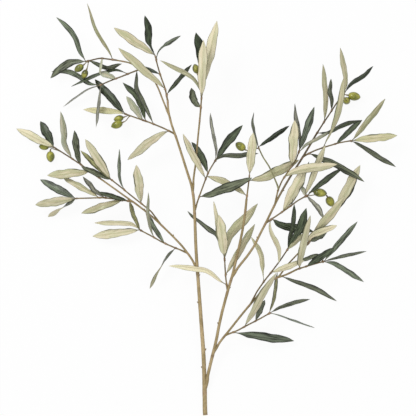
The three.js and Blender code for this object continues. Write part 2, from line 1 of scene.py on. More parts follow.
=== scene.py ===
# %% [markdown]
# # An olive branch with fruit
#
# A branch cut from an olive tree lies on a table. It has brown forked wood, young shoots with slender
# leaves, and a dozen olives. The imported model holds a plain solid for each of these. In this lesson
# each solid is read for its place and its line, and a fine piece is modelled on it: bark on the wood,
# a real leaf blade on each leaf, and a smooth fruit on each olive.

# %% Load the frame
import json
import math
import random

import bmesh
import bpy
import numpy as np
from mathutils import Matrix, Vector, noise
from mathutils.bvhtree import BVHTree

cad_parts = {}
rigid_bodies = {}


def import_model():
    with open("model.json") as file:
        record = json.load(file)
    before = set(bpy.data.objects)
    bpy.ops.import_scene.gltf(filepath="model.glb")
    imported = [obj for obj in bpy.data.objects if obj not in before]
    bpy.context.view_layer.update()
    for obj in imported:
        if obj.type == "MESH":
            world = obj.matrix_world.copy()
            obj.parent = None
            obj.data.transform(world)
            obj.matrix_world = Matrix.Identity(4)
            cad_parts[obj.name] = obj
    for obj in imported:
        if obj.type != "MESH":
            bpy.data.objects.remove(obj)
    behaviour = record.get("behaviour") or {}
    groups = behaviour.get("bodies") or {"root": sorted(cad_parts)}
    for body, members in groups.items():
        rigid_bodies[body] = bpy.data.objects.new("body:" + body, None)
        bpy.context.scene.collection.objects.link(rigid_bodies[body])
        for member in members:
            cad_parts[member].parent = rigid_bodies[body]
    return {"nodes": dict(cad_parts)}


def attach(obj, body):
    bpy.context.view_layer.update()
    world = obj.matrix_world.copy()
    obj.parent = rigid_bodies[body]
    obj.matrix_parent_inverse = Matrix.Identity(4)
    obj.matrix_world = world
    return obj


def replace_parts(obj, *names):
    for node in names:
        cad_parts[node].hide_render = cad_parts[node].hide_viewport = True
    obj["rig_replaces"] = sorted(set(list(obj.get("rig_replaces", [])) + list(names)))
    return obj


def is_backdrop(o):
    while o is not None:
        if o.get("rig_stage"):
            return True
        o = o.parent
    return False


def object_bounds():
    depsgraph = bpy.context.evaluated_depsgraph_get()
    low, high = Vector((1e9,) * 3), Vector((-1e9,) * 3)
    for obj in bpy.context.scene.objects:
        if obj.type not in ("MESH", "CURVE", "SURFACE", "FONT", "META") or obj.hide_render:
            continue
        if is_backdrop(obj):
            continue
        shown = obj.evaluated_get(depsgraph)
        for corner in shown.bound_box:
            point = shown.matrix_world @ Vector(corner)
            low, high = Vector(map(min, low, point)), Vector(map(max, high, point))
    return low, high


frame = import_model()
cad_low, cad_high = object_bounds()
nodes = frame["nodes"]
print("box of the model, in metres:", [round(v, 3) for v in (*cad_low, *cad_high)])

MM = 0.001
OLIVE_NODES = sorted(n for n in nodes if n.startswith("olive_"))
LIMB_NODES = ["main_stem", "centre_limb", "left_outer_limb", "left_side_limb", "right_limb",
              "right_leader", "lower_right_limb", "far_right_twig"]
TIP_NODES = sorted(n for n in nodes if n not in OLIVE_NODES and n not in LIMB_NODES and n != "lowest_leaf")
print(len(LIMB_NODES), "limbs,", len(TIP_NODES), "leafy tips,", len(OLIVE_NODES), "olives")

# %% [markdown]
# ## Table, camera and light
#
# The branch lies flat, so the camera hangs above it and looks straight down. A long lens far away
# keeps the leaf tips, which stand some way off the table, from looking larger than the stem. The table
# is pale. Part of its paleness shines by itself for the camera, so that it looks white while it
# still keeps a faint shadow of the branch.

# %% Table and camera
CAMERA_HEIGHT = 12.0
VIEW_WIDTH = 0.832          # what the picture takes in at the height of the branch
VIEW_CENTRE = Vector((0.0025, 0.0039, 0.05))


def pick(*objects):
    """Makes these the selected objects, and the first of them the active one."""
    bpy.ops.object.select_all(action="DESELECT")
    for obj in objects:
        obj.select_set(True)
    bpy.context.view_layer.objects.active = objects[0]


bpy.ops.object.select_all(action="DESELECT")
bpy.ops.mesh.primitive_plane_add(size=6.0, location=(0, 0, -0.0006))
table = bpy.context.object
table.name = "table"
bpy.ops.object.transform_apply(location=True, rotation=False, scale=False)
table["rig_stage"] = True

bpy.ops.object.camera_add(location=VIEW_CENTRE + Vector((0, 0, CAMERA_HEIGHT)), rotation=(0, 0, 0))
camera = bpy.context.object
camera.data.sensor_width = 36.0
camera.data.lens = camera.data.sensor_width * CAMERA_HEIGHT / VIEW_WIDTH
camera.data.clip_end = 40.0
bpy.context.scene.camera = camera
print("lens:", round(camera.data.lens), "mm")

# %% Light
def soft_lamp(name, place, size, power):
    bpy.ops.object.light_add(type="AREA", location=place)
    lamp = bpy.context.object
    lamp.name = name
    lamp.data.size = size
    lamp.data.energy = power
    lamp.rotation_euler = (Vector((0, 0, 0)) - Vector(place)).to_track_quat("-Z", "Y").to_euler()
    return lamp


soft_lamp("window_light", (-1.6, 1.5, 2.6), 1.2, 50.0)
soft_lamp("fill_light", (1.8, -1.2, 2.4), 2.2, 12.0)

world = bpy.data.worlds.new("studio")
bpy.context.scene.world = world
world.use_nodes = True
sky = world.node_tree.nodes["Background"]
sky.inputs["Color"].default_value = (1.0, 1.0, 1.0, 1)
sky.inputs["Strength"].default_value = 0.66
bpy.context.scene.view_settings.view_transform = "Standard"


# %% [markdown]
# ## A small set of tools for materials
#
# Natural surfaces are never one flat colour. Two shader groups do most of that work here. `mottle`
# mixes two colours by a soft noise, as on a leaf face or a fruit. `flecks` puts small spots on a
# surface, such as the corky pores of bark. A group is built once, and each material sets its own
# scale and strength.

# %% Shader groups
def link(tree, a, b):
    tree.links.new(a, b)


def new_group(name, inputs, outputs):
    group = bpy.data.node_groups.new(name, "ShaderNodeTree")
    for socket, kind, value in inputs:
        made = group.interface.new_socket(name=socket, in_out="INPUT", socket_type=kind)
        made.default_value = value
    for socket, kind in outputs:
        group.interface.new_socket(name=socket, in_out="OUTPUT", socket_type=kind)
    entry = group.nodes.new("NodeGroupInput")
    leave = group.nodes.new("NodeGroupOutput")
    return group, entry, leave


def noise_node(tree, vector, scale, detail=3.0, roughness=0.55):
    noise = tree.nodes.new("ShaderNodeTexNoise")
    noise.inputs["Detail"].default_value = detail
    noise.inputs["Roughness"].default_value = roughness
    link(tree, vector, noise.inputs["Vector"])
    if isinstance(scale, float):
        noise.inputs["Scale"].default_value = scale
    else:
        link(tree, scale, noise.inputs["Scale"])
    return noise.outputs["Fac"]


def contrast(tree, value, low, high):
    """0 up to low, 1 from high on, and smooth between them."""
    span = tree.nodes.new("ShaderNodeMapRange")
    span.interpolation_type = "SMOOTHSTEP"
    span.inputs["From Min"].default_value = low
    span.inputs["From Max"].default_value = high
    link(tree, value, span.inputs["Value"])
    return span.outputs["Result"]


def mix_colour(tree, factor, a, b, blend="MIX"):
    """a where factor is 0 and b where it is 1. a, b and factor may be sockets or plain values."""
    mixer = tree.nodes.new("ShaderNodeMix")
    mixer.data_type = "RGBA"
    mixer.blend_type = blend
    for value, socket in ((factor, mixer.inputs[0]), (a, mixer.inputs[6]), (b, mixer.inputs[7])):
        if hasattr(value, "is_output"):
            link(tree, value, socket)
        elif isinstance(value, float):
            socket.default_value = value
        else:
            socket.default_value = (*value, 1.0)
    return mixer.outputs[2]


def maths(tree, operation, a, b=0.0, clamp=False):
    node = tree.nodes.new("ShaderNodeMath")
    node.operation = operation
    node.use_clamp = clamp
    for value, socket in ((a, node.inputs[0]), (b, node.inputs[1])):
        if hasattr(value, "is_output"):
            link(tree, value, socket)
        else:
            socket.default_value = value
    return node.outputs[0]


def tint(tree, colour, mask, strength, other):
    """The colour with another one laid over it where the mask is 1, as strongly as strength says."""
    return mix_colour(tree, maths(tree, "MULTIPLY", mask, strength), colour, other)


mottle, entry, leave = new_group(
    "mottle",
    [("Colour A", "NodeSocketColor", (0.5, 0.5, 0.5, 1)),
     ("Colour B", "NodeSocketColor", (0.3, 0.3, 0.3, 1)),
     ("Vector", "NodeSocketVector", (0, 0, 0)), ("Scale", "NodeSocketFloat", 60.0)],
    [("Colour", "NodeSocketColor")])
soft_noise = noise_node(mottle, entry.outputs["Vector"], entry.outputs["Scale"])
soft_mask = contrast(mottle, soft_noise, 0.36, 0.64)
mottled = mix_colour(mottle, soft_mask, entry.outputs["Colour A"], entry.outputs["Colour B"])
link(mottle, mottled, leave.inputs["Colour"])

flecks, entry, leave = new_group(
    "flecks",
    [("Vector", "NodeSocketVector", (0, 0, 0)), ("Scale", "NodeSocketFloat", 400.0),
     ("Size", "NodeSocketFloat", 0.25)],
    [("Mask", "NodeSocketFloat")])
cells = flecks.nodes.new("ShaderNodeTexVoronoi")
link(flecks, entry.outputs["Vector"], cells.inputs["Vector"])
link(flecks, entry.outputs["Scale"], cells.inputs["Scale"])
fleck_edge = maths(flecks, "SUBTRACT", entry.outputs["Size"], cells.outputs["Distance"])
link(flecks, maths(flecks, "MULTIPLY", fleck_edge, 12.0, clamp=True), leave.inputs["Mask"])
print("shader groups:", mottle.name, flecks.name)


# %% Starting a material
def new_material(name, roughness):
    material = bpy.data.materials.new(name)
    material.use_nodes = True
    tree = material.node_tree
    surface = tree.nodes["Principled BSDF"]
    surface.inputs["Roughness"].default_value = roughness
    place = tree.nodes.new("ShaderNodeTexCoord").outputs["Object"]
    return material, tree, surface, place


def put_group(tree, group, **inputs):
    node = tree.nodes.new("ShaderNodeGroup")
    node.node_tree = group
    for key, value in inputs.items():
        socket = node.inputs[key.replace("_", " ")]
        if hasattr(value, "is_output"):
            link(tree, value, socket)
        elif isinstance(value, float):
            socket.default_value = value
        else:
            socket.default_value = (*value, 1.0)
    return node


def attribute(tree, name):
    node = tree.nodes.new("ShaderNodeAttribute")
    node.attribute_name = name
    return node.outputs["Fac"]


def bump(tree, surface, height, distance, strength=1.0):
    node = tree.nodes.new("ShaderNodeBump")
    node.inputs["Strength"].default_value = strength
    node.inputs["Distance"].default_value = distance
    link(tree, height, node.inputs["Height"])
    link(tree, node.outputs["Normal"], surface.inputs["Normal"])


# %% Table material
TABLE_SHINE = 0.93          # how much of what the camera sees of the table is its own light
table_material, tree, surface, place = new_material("pale_table", 0.9)
surface.inputs["Specular IOR Level"].default_value = 0.0
surface.inputs["Base Color"].default_value = (0.86, 0.86, 0.86, 1)
shine = tree.nodes.new("ShaderNodeEmission")
shine.inputs["Color"].default_value = (1.0, 1.0, 1.0, 1)
rays = tree.nodes.new("ShaderNodeLightPath")
seen = maths(tree, "MAXIMUM", rays.outputs["Is Camera Ray"], rays.outputs["Is Glossy Ray"])
seen = maths(tree, "MAXIMUM", seen, rays.outputs["Is Transmission Ray"])
own_light = maths(tree, "MULTIPLY", seen, TABLE_SHINE)
blend = tree.nodes.new("ShaderNodeMixShader")
link(tree, own_light, blend.inputs[0])
link(tree, surface.outputs[0], blend.inputs[1])
link(tree, shine.outputs[0], blend.inputs[2])
link(tree, blend.outputs[0], tree.nodes["Material Output"].inputs["Surface"])
table.data.materials.append(table_material)
print("material:", table_material.name)


# %% [markdown]
# ## Reading the leaves
#
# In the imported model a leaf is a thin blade: four-cornered rings, one after another, that close in
# a single point at the tip. That point is easy to find, because just four edges meet there. Walking
# back from it, ring by ring, gives the leaf's midrib, its width, and the way that its upper face looks.

# %% Find the leaves
RING_SHARES = [0.88, 0.72, 0.54, 0.36, 0.2, 0.08]      # where the rings lie, as shares of the length
RING_WIDTHS = [0.6, 0.93, 1.0, 0.88, 0.55]             # of the first five, as shares of the full width
LEAF_CORNERS = 4                                       # of one ring
FEWEST_RINGS = 4                                       # a shape with fewer is no leaf
SAME_PLACE = 2e-6                                      # corners closer than this are one


def merged_copy(node):
    """The solid of a node with its loose triangles joined at their shared corners."""
    solid = bmesh.new()
    solid.from_mesh(nodes[node].data)
    bmesh.ops.remove_doubles(solid, verts=solid.verts, dist=SAME_PLACE)
    solid.normal_update()
    return solid


def rings_from(corner, count):
    """The rings of count corners that follow one another, starting from the point of a shape."""
    rings, reached, front = [], {corner}, [corner]
    while len(rings) < len(RING_SHARES):
        following = []
        for vertex in front:
            for edge in vertex.link_edges:
                other = edge.other_vert(vertex)
                if other not in reached:
                    reached.add(other)
                    following.append(other)
        if len(following) != count:
            break
        rings.append(following)
        front = following
    return rings


def centre_of(points):
    return sum(points, Vector()) / len(points)


def read_leaf(corner, rings):
    """The leaf's point, width and fold. Each station is a ring: its share, its place, and up there."""
    stations, across, widths, folds = [], None, [], []
    for number, ring in enumerate(rings):
        points = [v.co.copy() for v in ring]
        if number < len(RING_WIDTHS):
            pairs = [(a, b) for i, a in enumerate(points) for b in points[i + 1:]]
            left, right = max(pairs, key=lambda pair: (pair[0] - pair[1]).length)
            if across is not None and (left - right).dot(across) < 0:
                left, right = right, left
            across = (left - right).normalized()
            middle = (left + right) / 2
            inner = centre_of([p for p in points if p is not left and p is not right])
            upward = middle - inner
            folds.append(upward.length / ((left - right).length / 2))
            widths.append((left - right).length / RING_WIDTHS[number])
            upward = (upward - upward.dot(across) * across).normalized()
        else:
            middle = centre_of(points)
            upward = stations[-1][2]
        stations.append((RING_SHARES[number], middle, upward))
    return {
        "tip": corner.co.copy(), "stations": stations,
        "width": sorted(widths)[len(widths) // 2], "fold": sorted(folds)[len(folds) // 2],
    }


def stalk_start(leaf):
    """Where the stalk of a leaf would meet its shoot if it ran on straight."""
    share, end = leaf["stations"][-1][:2]
    before_share, before = leaf["stations"][-2][:2]
    return end - (before - end) * (share / (before_share - share))


leaves = {}        # node: the leaves that it carries
leaf_corners = {}  # node: the positions of all the corners that belong to leaves
for node in TIP_NODES + ["lowest_leaf"]:
    solid = merged_copy(node)
    leaves[node], leaf_corners[node] = [], set()
    for vertex in solid.verts:
        if len(vertex.link_edges) != LEAF_CORNERS:
            continue
        rings = rings_from(vertex, LEAF_CORNERS)
        if len(rings) < FEWEST_RINGS:
            continue
        leaves[node].append(read_leaf(vertex, rings))
        leaf_corners[node].update([vertex.index] + [v.index for ring in rings for v in ring])
    solid.free()
    leaves[node].sort(key=lambda leaf: math.atan2(leaf["tip"].y, leaf["tip"].x))
print(sum(len(found) for found in leaves.values()), "leaves found")

# %% [markdown]
# ## Reading the wood
#
# A limb or a shoot is a bent tube. Its centre line is found by feeling along the inside: from a point
# in the tube, rays go out to the wall all round, the point moves to the middle, and then it takes a
# short step ahead. The line is then smoothed, because living wood has no corners.

# %% Centre lines of the wood
FEEL_STEP = 1.2 * MM        # from one place to the next
FEEL_RAYS = 12              # that go out from each place
FEEL_REACH = 30 * MM        # a ray that finds no wall within this has missed
MOST_MISSED = 3             # when more rays miss, the tube has ended
MOST_STEPS = 800
SIDE_OPENING = 1.35         # a way across that is so much wider than the narrow one looks into a fork
TOO_SMALL = 1e-6            # for a length or a sum to divide by
STARTS_TRIED = 12           # how many walks are tried in one solid
NEAR_FACES = 80             # faces that are looked at for a start near the older wood
LEAST_WALL = 1.4 * MM       # a thinner place is a leaf
START_DEPTH = 0.8 * MM      # of the start under the face
FEWEST_PLACES = 8           # a shorter line is no limb
FREE_GAP = 9 * MM           # that a line may have to the older wood at no cost
LENGTH_COUNTS = 0.2         # how much the length of a line counts against its gap
GROWS_FROM = {
    "right_limb": "main_stem", "centre_limb": "main_stem", "left_outer_limb": "main_stem",
    "left_side_limb": "main_stem", "right_leader": "right_limb", "lower_right_limb": "right_limb",
    "far_right_twig": "lower_right_limb", "centre_tip": "centre_limb", "left_leader_tip": "main_stem",
    "left_outer_tip": "left_outer_limb", "left_spur": "left_outer_limb", "lower_left_twig": "main_stem",
    "inner_right_twig": "main_stem", "right_limb_tip": "right_limb", "middle_spur": "right_limb",
    "right_inner_tip": "right_leader", "slender_twig": "right_inner_tip",
    "right_leader_tip": "right_leader", "far_right_spur": "right_leader",
    "right_side_twig": "right_leader", "centre_right_twig": "lower_right_limb",
    "far_right_tip": "far_right_twig", "lower_right_tip": "lower_right_limb",
    "lowest_right_twig": "lower_right_limb", "left_side_tip": "left_side_limb",
    "left_upper_twig": "left_side_limb", "left_lower_twig": "left_side_limb",
    "left_lowest_twig": "left_side_limb", "lowest_leaf": "lower_right_limb",
    "olive_right_long": "right_leader_tip", "olive_right_hanging": "right_leader_tip",
    "olive_side_upper": "right_side_twig", "olive_side_lower": "right_side_twig",
    "olive_slender": "slender_twig", "olive_centre": "centre_tip", "olive_outer_left": "left_outer_tip",
    "olive_outer_right": "left_outer_tip", "olive_lower_left_back": "lower_left_twig",
    "olive_lower_left_front": "lower_left_twig", "olive_far_left": "left_side_tip",
    "olive_far_left_large": "left_side_tip",
}


def feel_wall(tree, here, u, w):
    """How far the wall is in each direction round a place, and how many of the rays missed it."""
    reach, missed = [], 0
    for i in range(FEEL_RAYS):
        angle = 2 * math.pi * i / FEEL_RAYS
        ray = u * math.cos(angle) + w * math.sin(angle)
        hit, normal, _index, distance = tree.ray_cast(here, ray, FEEL_REACH)
        if hit is None or normal.dot(ray) < 0:
            missed += 1
            distance = FEEL_REACH
        reach.append(distance)
    return reach, missed


def off_middle(reach):
    """How far the middle of the tube is off, along u and w, and the radius of the tube."""
    half = FEEL_RAYS // 2
    across = [reach[i] + reach[i + half] for i in range(half)]
    narrow = sorted(across)[1]
    sums, right = np.zeros((2, 2)), np.zeros(2)
    for i in range(half):
        if across[i] < SIDE_OPENING * narrow:
            angle = 2 * math.pi * i / FEEL_RAYS
            ray = np.array([math.cos(angle), math.sin(angle)])
            sums += np.outer(ray, ray)
            right += ray * (reach[i] - reach[i + half]) / 2
    if np.linalg.det(sums) > TOO_SMALL:
        return np.linalg.solve(sums, right), narrow / 2
    return (0.0, 0.0), narrow / 2


def feel(tree, start, direction):
    """Walks through the inside of a tube and gives the places of its middle, with the radius there."""
    walked, before = [], start
    while len(walked) < MOST_STEPS:
        here = before + direction * FEEL_STEP
        for _ in range(2):
            u = direction.orthogonal().normalized()
            w = direction.cross(u)
            reach, missed = feel_wall(tree, here, u, w)
            if missed > MOST_MISSED:
                return walked
            shift, radius = off_middle(reach)
            here = here + u * float(shift[0]) + w * float(shift[1])
        walked.append((here, radius))
        tail = walked[-4][0] if len(walked) >= 4 else start
        gone = here - tail
        if len(walked) >= 3 and gone.length > TOO_SMALL:
            direction = (direction + gone.normalized()).normalized()
        before = here
    return walked


def trim_leaf(line, node):
    """Cuts off the part of a shoot's line that has run on into the stalk of its last leaf."""
    for leaf in leaves.get(node, []):
        if len(leaf["stations"]) < len(RING_SHARES):
            continue
        stalk_end = leaf["stations"][-1][1]
        near = min(range(len(line)), key=lambda i: (line[i][0] - stalk_end).length)
        if (line[near][0] - stalk_end).length > FEEL_STEP:
            continue
        length = (leaf["tip"] - stalk_end).length / (1 - RING_SHARES[-1])
        trim = int(length * RING_SHARES[-1] / FEEL_STEP)
        at_end = (line[-1][0] - leaf["tip"]).length < (line[0][0] - leaf["tip"]).length
        line = line[:max(0, near - trim)] if at_end else line[near + trim:]
        if not line:
            break
    return line


def nearest_on(line, point):
    """The number of the place on a line that is nearest to a point, and how far that is."""
    gaps = [(p - point).length_squared for p in line]
    best = min(range(len(line)), key=gaps.__getitem__)
    return best, math.sqrt(gaps[best])


def starting_faces(wood, older):
    """Faces to start a walk from: the three largest, and then those nearest to the older wood."""
    starts = sorted(wood, key=lambda f: -f.calc_area())
    if not older:
        return starts
    middles = np.array([tuple(f.calc_center_median()) for f in starts[:NEAR_FACES]])
    places = np.array([tuple(p) for p in older])
    gaps = np.linalg.norm(middles[:, None, :] - places[None], axis=2).min(1)
    return starts[:3] + [starts[i] for i in np.argsort(gaps)]


def line_under(tree, face, node):
    """The line that is found by walking both ways from under a face, along its longest edge."""
    edge = max(face.edges, key=lambda e: e.calc_length())
    along = (edge.verts[1].co - edge.verts[0].co).normalized()
    start = face.calc_center_median() - face.normal * START_DEPTH
    line = feel(tree, start, -along)[::-1] + feel(tree, start, along)
    return trim_leaf(line, node) if len(line) >= FEWEST_PLACES else []


def best_line(solid, node, older):
    """The line of a limb or shoot: of all that are tried, a long one that starts at the older wood."""
    skip = leaf_corners.get(node, set())
    wood = [f for f in solid.faces if not any(v.index in skip for v in f.verts)]
    tree = BVHTree.FromBMesh(solid)
    best, tried = None, 0
    for face in starting_faces(wood, older):
        wall = tree.ray_cast(face.calc_center_median() - face.normal * 0.1 * MM, -face.normal)[3]
        if not wall or wall < LEAST_WALL:
            continue
        tried += 1
        if tried > STARTS_TRIED:
            break
        line = line_under(tree, face, node)
        if len(line) < FEWEST_PLACES:
            continue
        gap = 0.0
        if older:
            gaps = [min((end[0] - p).length for p in older) for end in (line[0], line[-1])]
            if gaps[1] < gaps[0]:
                line = line[::-1]
            gap = max(0.0, min(gaps) - FREE_GAP)
        cost = gap - LENGTH_COUNTS * len(line) * FEEL_STEP
        if best is None or cost < best[0]:
            best = (cost, line)
    return best[1]


def wood_line(node):
    """The centre line of a limb or shoot as places, from the older wood outwards, and its two radii."""
    solid = merged_copy(node)
    older = [p for p, _ in raw_lines[GROWS_FROM[node]]] if node in GROWS_FROM else []
    line = best_line(solid, node, older)
    solid.free()
    places = [p for p, _ in line]
    ends = [nearest_on(places, stalk_start(leaf))[0] for leaf in leaves.get(node, [])]
    if ends:
        line = line[:max(ends) + 2]
    if node != "main_stem":
        radii = [r for _, r in line]
        usual = np.median(radii)
        good = [i for i, r in enumerate(radii) if 0.7 * usual < r < 1.6 * usual]
        line = line[good[0]:good[-1] + 1]
    raw_lines[node] = line
    quarter = max(2, len(line) // 4)
    first = float(np.median([r for _, r in line[:quarter]]))
    last = float(np.median([r for _, r in line[-quarter:]]))
    return [p for p, _ in line], (first, last)


def smoothed(points, reach):
    """The same line with its corners rounded off over some reach, and its two ends kept."""
    line = np.array(points)
    steps = max(1, int(reach / FEEL_STEP))
    weights = np.exp(-0.5 * (np.arange(-2 * steps, 2 * steps + 1) / steps) ** 2)
    weights /= weights.sum()
    before = 2 * line[0] - line[2 * steps:0:-1]
    after = 2 * line[-1] - line[-2:-2 * steps - 2:-1]
    padded = np.vstack([before, line, after])
    return [Vector([float(np.dot(weights, padded[i:i + len(weights), k])) for k in range(3)])
            for i in range(len(line))]


raw_lines = {}      # node: the places and radii that were felt, before they are smoothed
wood_lines = {}     # node: its smooth centre line
wood_radii = {}     # node: the radius near its start and near its end
WOOD_NODES = ["main_stem"] + [n for n in GROWS_FROM if n in nodes and n in LIMB_NODES + TIP_NODES]
for node in WOOD_NODES:
    points, radii = wood_line(node)
    wood_lines[node] = smoothed(points, min(5 * MM, len(points) * FEEL_STEP / 8))
    wood_radii[node] = radii
    length = sum((b - a).length for a, b in zip(wood_lines[node], wood_lines[node][1:]))
    print(f"{node}: {length / MM:.0f} mm long, {2 * radii[0] / MM:.1f} to {2 * radii[1] / MM:.1f} mm thick")

# %% [markdown]
# ## Joining the wood
#
# Each limb grows out of another one. Its line is led back along the older wood into its middle, so that
# the two run into each other. The smaller the angle of the fork, the further it is led back.

# %% Where each line starts
LEAST_BACK, MOST_BACK = 2.5 * MM, 24 * MM
NEARBY = 3                  # places to both sides that give the direction of a line


def led_back(line, older):
    """The line with a new start in the middle of the older wood, and how much was added."""
    ahead = (line[min(5, len(line) - 1)] - line[0]).normalized()
    index, gap = nearest_on(older, line[0])
    along = (older[min(index + NEARBY, len(older) - 1)] - older[max(index - NEARBY, 0)]).normalized()
    across = max(0.05, math.sin(along.angle(ahead)))
    back = min(MOST_BACK, max(LEAST_BACK, LEAST_BACK + gap / across))
    behind = max(0, index - int(back / FEEL_STEP))
    start = older[behind]
    onward = (older[min(behind + NEARBY, len(older) - 1)] - start).normalized()
    reach = (line[0] - start).length
    handles = [start, start + onward * reach / 3, line[0] - ahead * reach / 3, line[0]]
    count = max(3, round(reach / FEEL_STEP))
    added = []
    for i in range(count):
        t = i / count
        shares = ((1 - t) ** 3, 3 * t * (1 - t) ** 2, 3 * t * t * (1 - t), t ** 3)
        added.append(sum((point * share for point, share in zip(handles, shares)), Vector()))
    return added + line, reach


# node: its line from the middle of the older wood on, and how much of it was added
full_lines = {"main_stem": (wood_lines["main_stem"], 0.0)}
for node in WOOD_NODES[1:]:
    full_lines[node] = led_back(wood_lines[node], wood_lines[GROWS_FROM[node]])
    print(f"{node} is led {full_lines[node][1] / MM:.0f} mm back into the older wood")

# %% [markdown]
# ## Modelling the wood
#
# By hand, a rod is started as a cylinder, and loops are cut across it so that it can bend. Every
# limb and shoot is such a rod. Its rings are then set on the centre line, thicker at the collar and at
# each leaf joint, and a little uneven everywhere.

# %% A rod that can bend
ROD_SIDES = 14
LUMPS, FINE_LUMPS = 160, 520        # how many to a metre, about


def straight_rod(name, rings, sides=ROD_SIDES):
    """A closed cylinder of radius 1 along Z from 0 to 1, cut across into so many rings."""
    bpy.ops.object.select_all(action="DESELECT")
    bpy.ops.mesh.primitive_cylinder_add(vertices=sides, radius=1.0, depth=1.0, location=(0, 0, 0.5))
    rod = bpy.context.object
    rod.name = name
    bpy.ops.object.transform_apply(location=True)
    bpy.ops.object.mode_set(mode="EDIT")
    bpy.ops.mesh.select_mode(type="EDGE")
    bpy.ops.mesh.select_all(action="DESELECT")
    shape = bmesh.from_edit_mesh(rod.data)
    for edge in shape.edges:
        edge.select_set(abs(edge.verts[0].co.z - edge.verts[1].co.z) > 0.5)
    bmesh.update_edit_mesh(rod.data)
    bpy.ops.mesh.subdivide(number_cuts=rings - 2)
    bpy.ops.object.mode_set(mode="OBJECT")
    return rod


def line_sampler(points):
    """Gives place and direction at any distance along a line, and the length of the line."""
    line = np.array(points)
    steps = np.linalg.norm(np.diff(line, axis=0), axis=1)
    gone = np.concatenate([[0], np.cumsum(steps)])
    total = gone[-1]

    def at(distance):
        return Vector([float(np.interp(distance, gone, line[:, k])) for k in range(3)])

    def heading(distance):
        reach = 2.0 * MM
        return (at(min(distance + reach, total)) - at(max(distance - reach, 0))).normalized()

    return at, heading, total


def bend_rod(rod, points, radius_at, uneven, seed):
    """Sets the rings of a straight rod on a line, each with its radius by its distance from the start."""
    at, heading, total = line_sampler(points)
    levels = sorted({round(v.co.z, 5) for v in rod.data.vertices})
    sideways = heading(0).orthogonal().normalized()
    rings = {}
    for level in levels:
        distance = level * total
        forward = heading(distance)
        sideways = (sideways - sideways.dot(forward) * forward).normalized()
        rings[level] = (at(distance), sideways.copy(), forward.cross(sideways), distance)
    bark_uv = rod.data.uv_layers.active or rod.data.uv_layers.new(name="UVMap")
    flat = {}
    for vertex in rod.data.vertices:
        level = round(vertex.co.z, 5)
        centre, u, w, distance = rings[level]
        angle = math.atan2(vertex.co.y, vertex.co.x)
        flat[vertex.index] = (distance, angle)
        out = u * math.cos(angle) + w * math.sin(angle)
        size = math.hypot(vertex.co.x, vertex.co.y)
        radius = radius_at(distance) * size
        where = centre + out * radius
        lump = noise.noise(where * LUMPS + Vector((seed, 0, 0))) * 0.6
        lump += noise.noise(where * FINE_LUMPS) * 0.4
        vertex.co = where + out * lump * uneven * radius
    for face in rod.data.polygons:
        angles = [flat[rod.data.loops[i].vertex_index][1] for i in face.loop_indices]
        wraps = max(angles) - min(angles) > math.pi
        for i in face.loop_indices:
            distance, angle = flat[rod.data.loops[i].vertex_index]
            if wraps and angle < 0:
                angle += 2 * math.pi
            bark_uv.data[i].uv = (distance, angle / (2 * math.pi))


def smooth_step(value, low, high):
    t = min(1.0, max(0.0, (value - low) / (high - low)))
    return t * t * (3 - 2 * t)


def set_number(obj, name, value):
    """Gives each corner of the mesh a number that the material reads."""
    made = obj.data.attributes.get(name) or obj.data.attributes.new(name, "FLOAT", "POINT")
    count = len(obj.data.vertices)
    values = np.full(count, value, np.float32) if np.isscalar(value) else np.array(value, np.float32)
    made.data.foreach_set("value", values)


def join_copies(copies, name):
    pick(*copies)
    if len(copies) > 1:
        bpy.ops.object.join()
    joined = bpy.context.object
    joined.name = name
    joined.data.name = name
    return joined


def finish_piece(obj, material, replaced):
    """Gives a piece its material and tells the frame what it stands for."""
    obj.data.materials.clear()
    obj.data.materials.append(material)
    pick(obj)
    bpy.ops.object.shade_smooth()
    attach(obj, "root")
    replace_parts(obj, replaced)


# %% [markdown]
# ## Bark
#
# Olive wood of one to three years is smooth and tan, with fine lengthwise streaks, and it is redder
# and darker at the joints. The youngest shoots are thin and brown-green. Numbers on the mesh say how
# old, green or dark the wood is and how near a joint it lies. The material mixes its colours by them.

# %% Bark material
bark, tree, surface, place = new_material("olive_bark", 0.6)
uv = tree.nodes.new("ShaderNodeUVMap")
uv.uv_map = "UVMap"
stretch = tree.nodes.new("ShaderNodeMapping")
stretch.inputs["Scale"].default_value = (70.0, 7.0, 1.0)
link(tree, uv.outputs["UV"], stretch.inputs["Vector"])
streaks = noise_node(tree, stretch.outputs["Vector"], 1.6, 5.0, 0.6)
age, joint = attribute(tree, "age"), attribute(tree, "joint")
old = put_group(tree, mottle, Vector=place, Scale=45.0,
                Colour_A=(0.52, 0.395, 0.205), Colour_B=(0.35, 0.265, 0.12))
young = put_group(tree, mottle, Vector=place, Scale=70.0,
                  Colour_A=(0.215, 0.155, 0.045), Colour_B=(0.10, 0.07, 0.018))
colour = mix_colour(tree, age, young.outputs["Colour"], old.outputs["Colour"])
fresh = mix_colour(tree, contrast(tree, streaks, 0.4, 0.6), (0.33, 0.34, 0.17), (0.16, 0.18, 0.09))
colour = mix_colour(tree, attribute(tree, "fresh"), colour, fresh)
colour = tint(tree, colour, contrast(tree, streaks, 0.50, 0.68), 0.5, (0.15, 0.095, 0.055))
colour = tint(tree, colour, contrast(tree, streaks, 0.47, 0.32), 0.3, (0.60, 0.48, 0.32))
colour = tint(tree, colour, attribute(tree, "dark"), 0.75, (0.085, 0.06, 0.035))
at_joint = put_group(tree, mottle, Vector=place, Scale=14.0,
                     Colour_A=(0.52, 0.33, 0.22), Colour_B=(0.17, 0.085, 0.05))
colour = tint(tree, colour, joint, 0.6, at_joint.outputs["Colour"])
pores = put_group(tree, flecks, Vector=place, Scale=420.0, Size=0.22)
colour = tint(tree, colour, pores.outputs["Mask"], 0.35, (0.62, 0.52, 0.38))
# painted shade: the sides of each rod, where they turn away from the camera, are painted darker
painted_side_shade = tree.nodes.new("ShaderNodeLayerWeight")
painted_side_shade.inputs["Blend"].default_value = 0.3
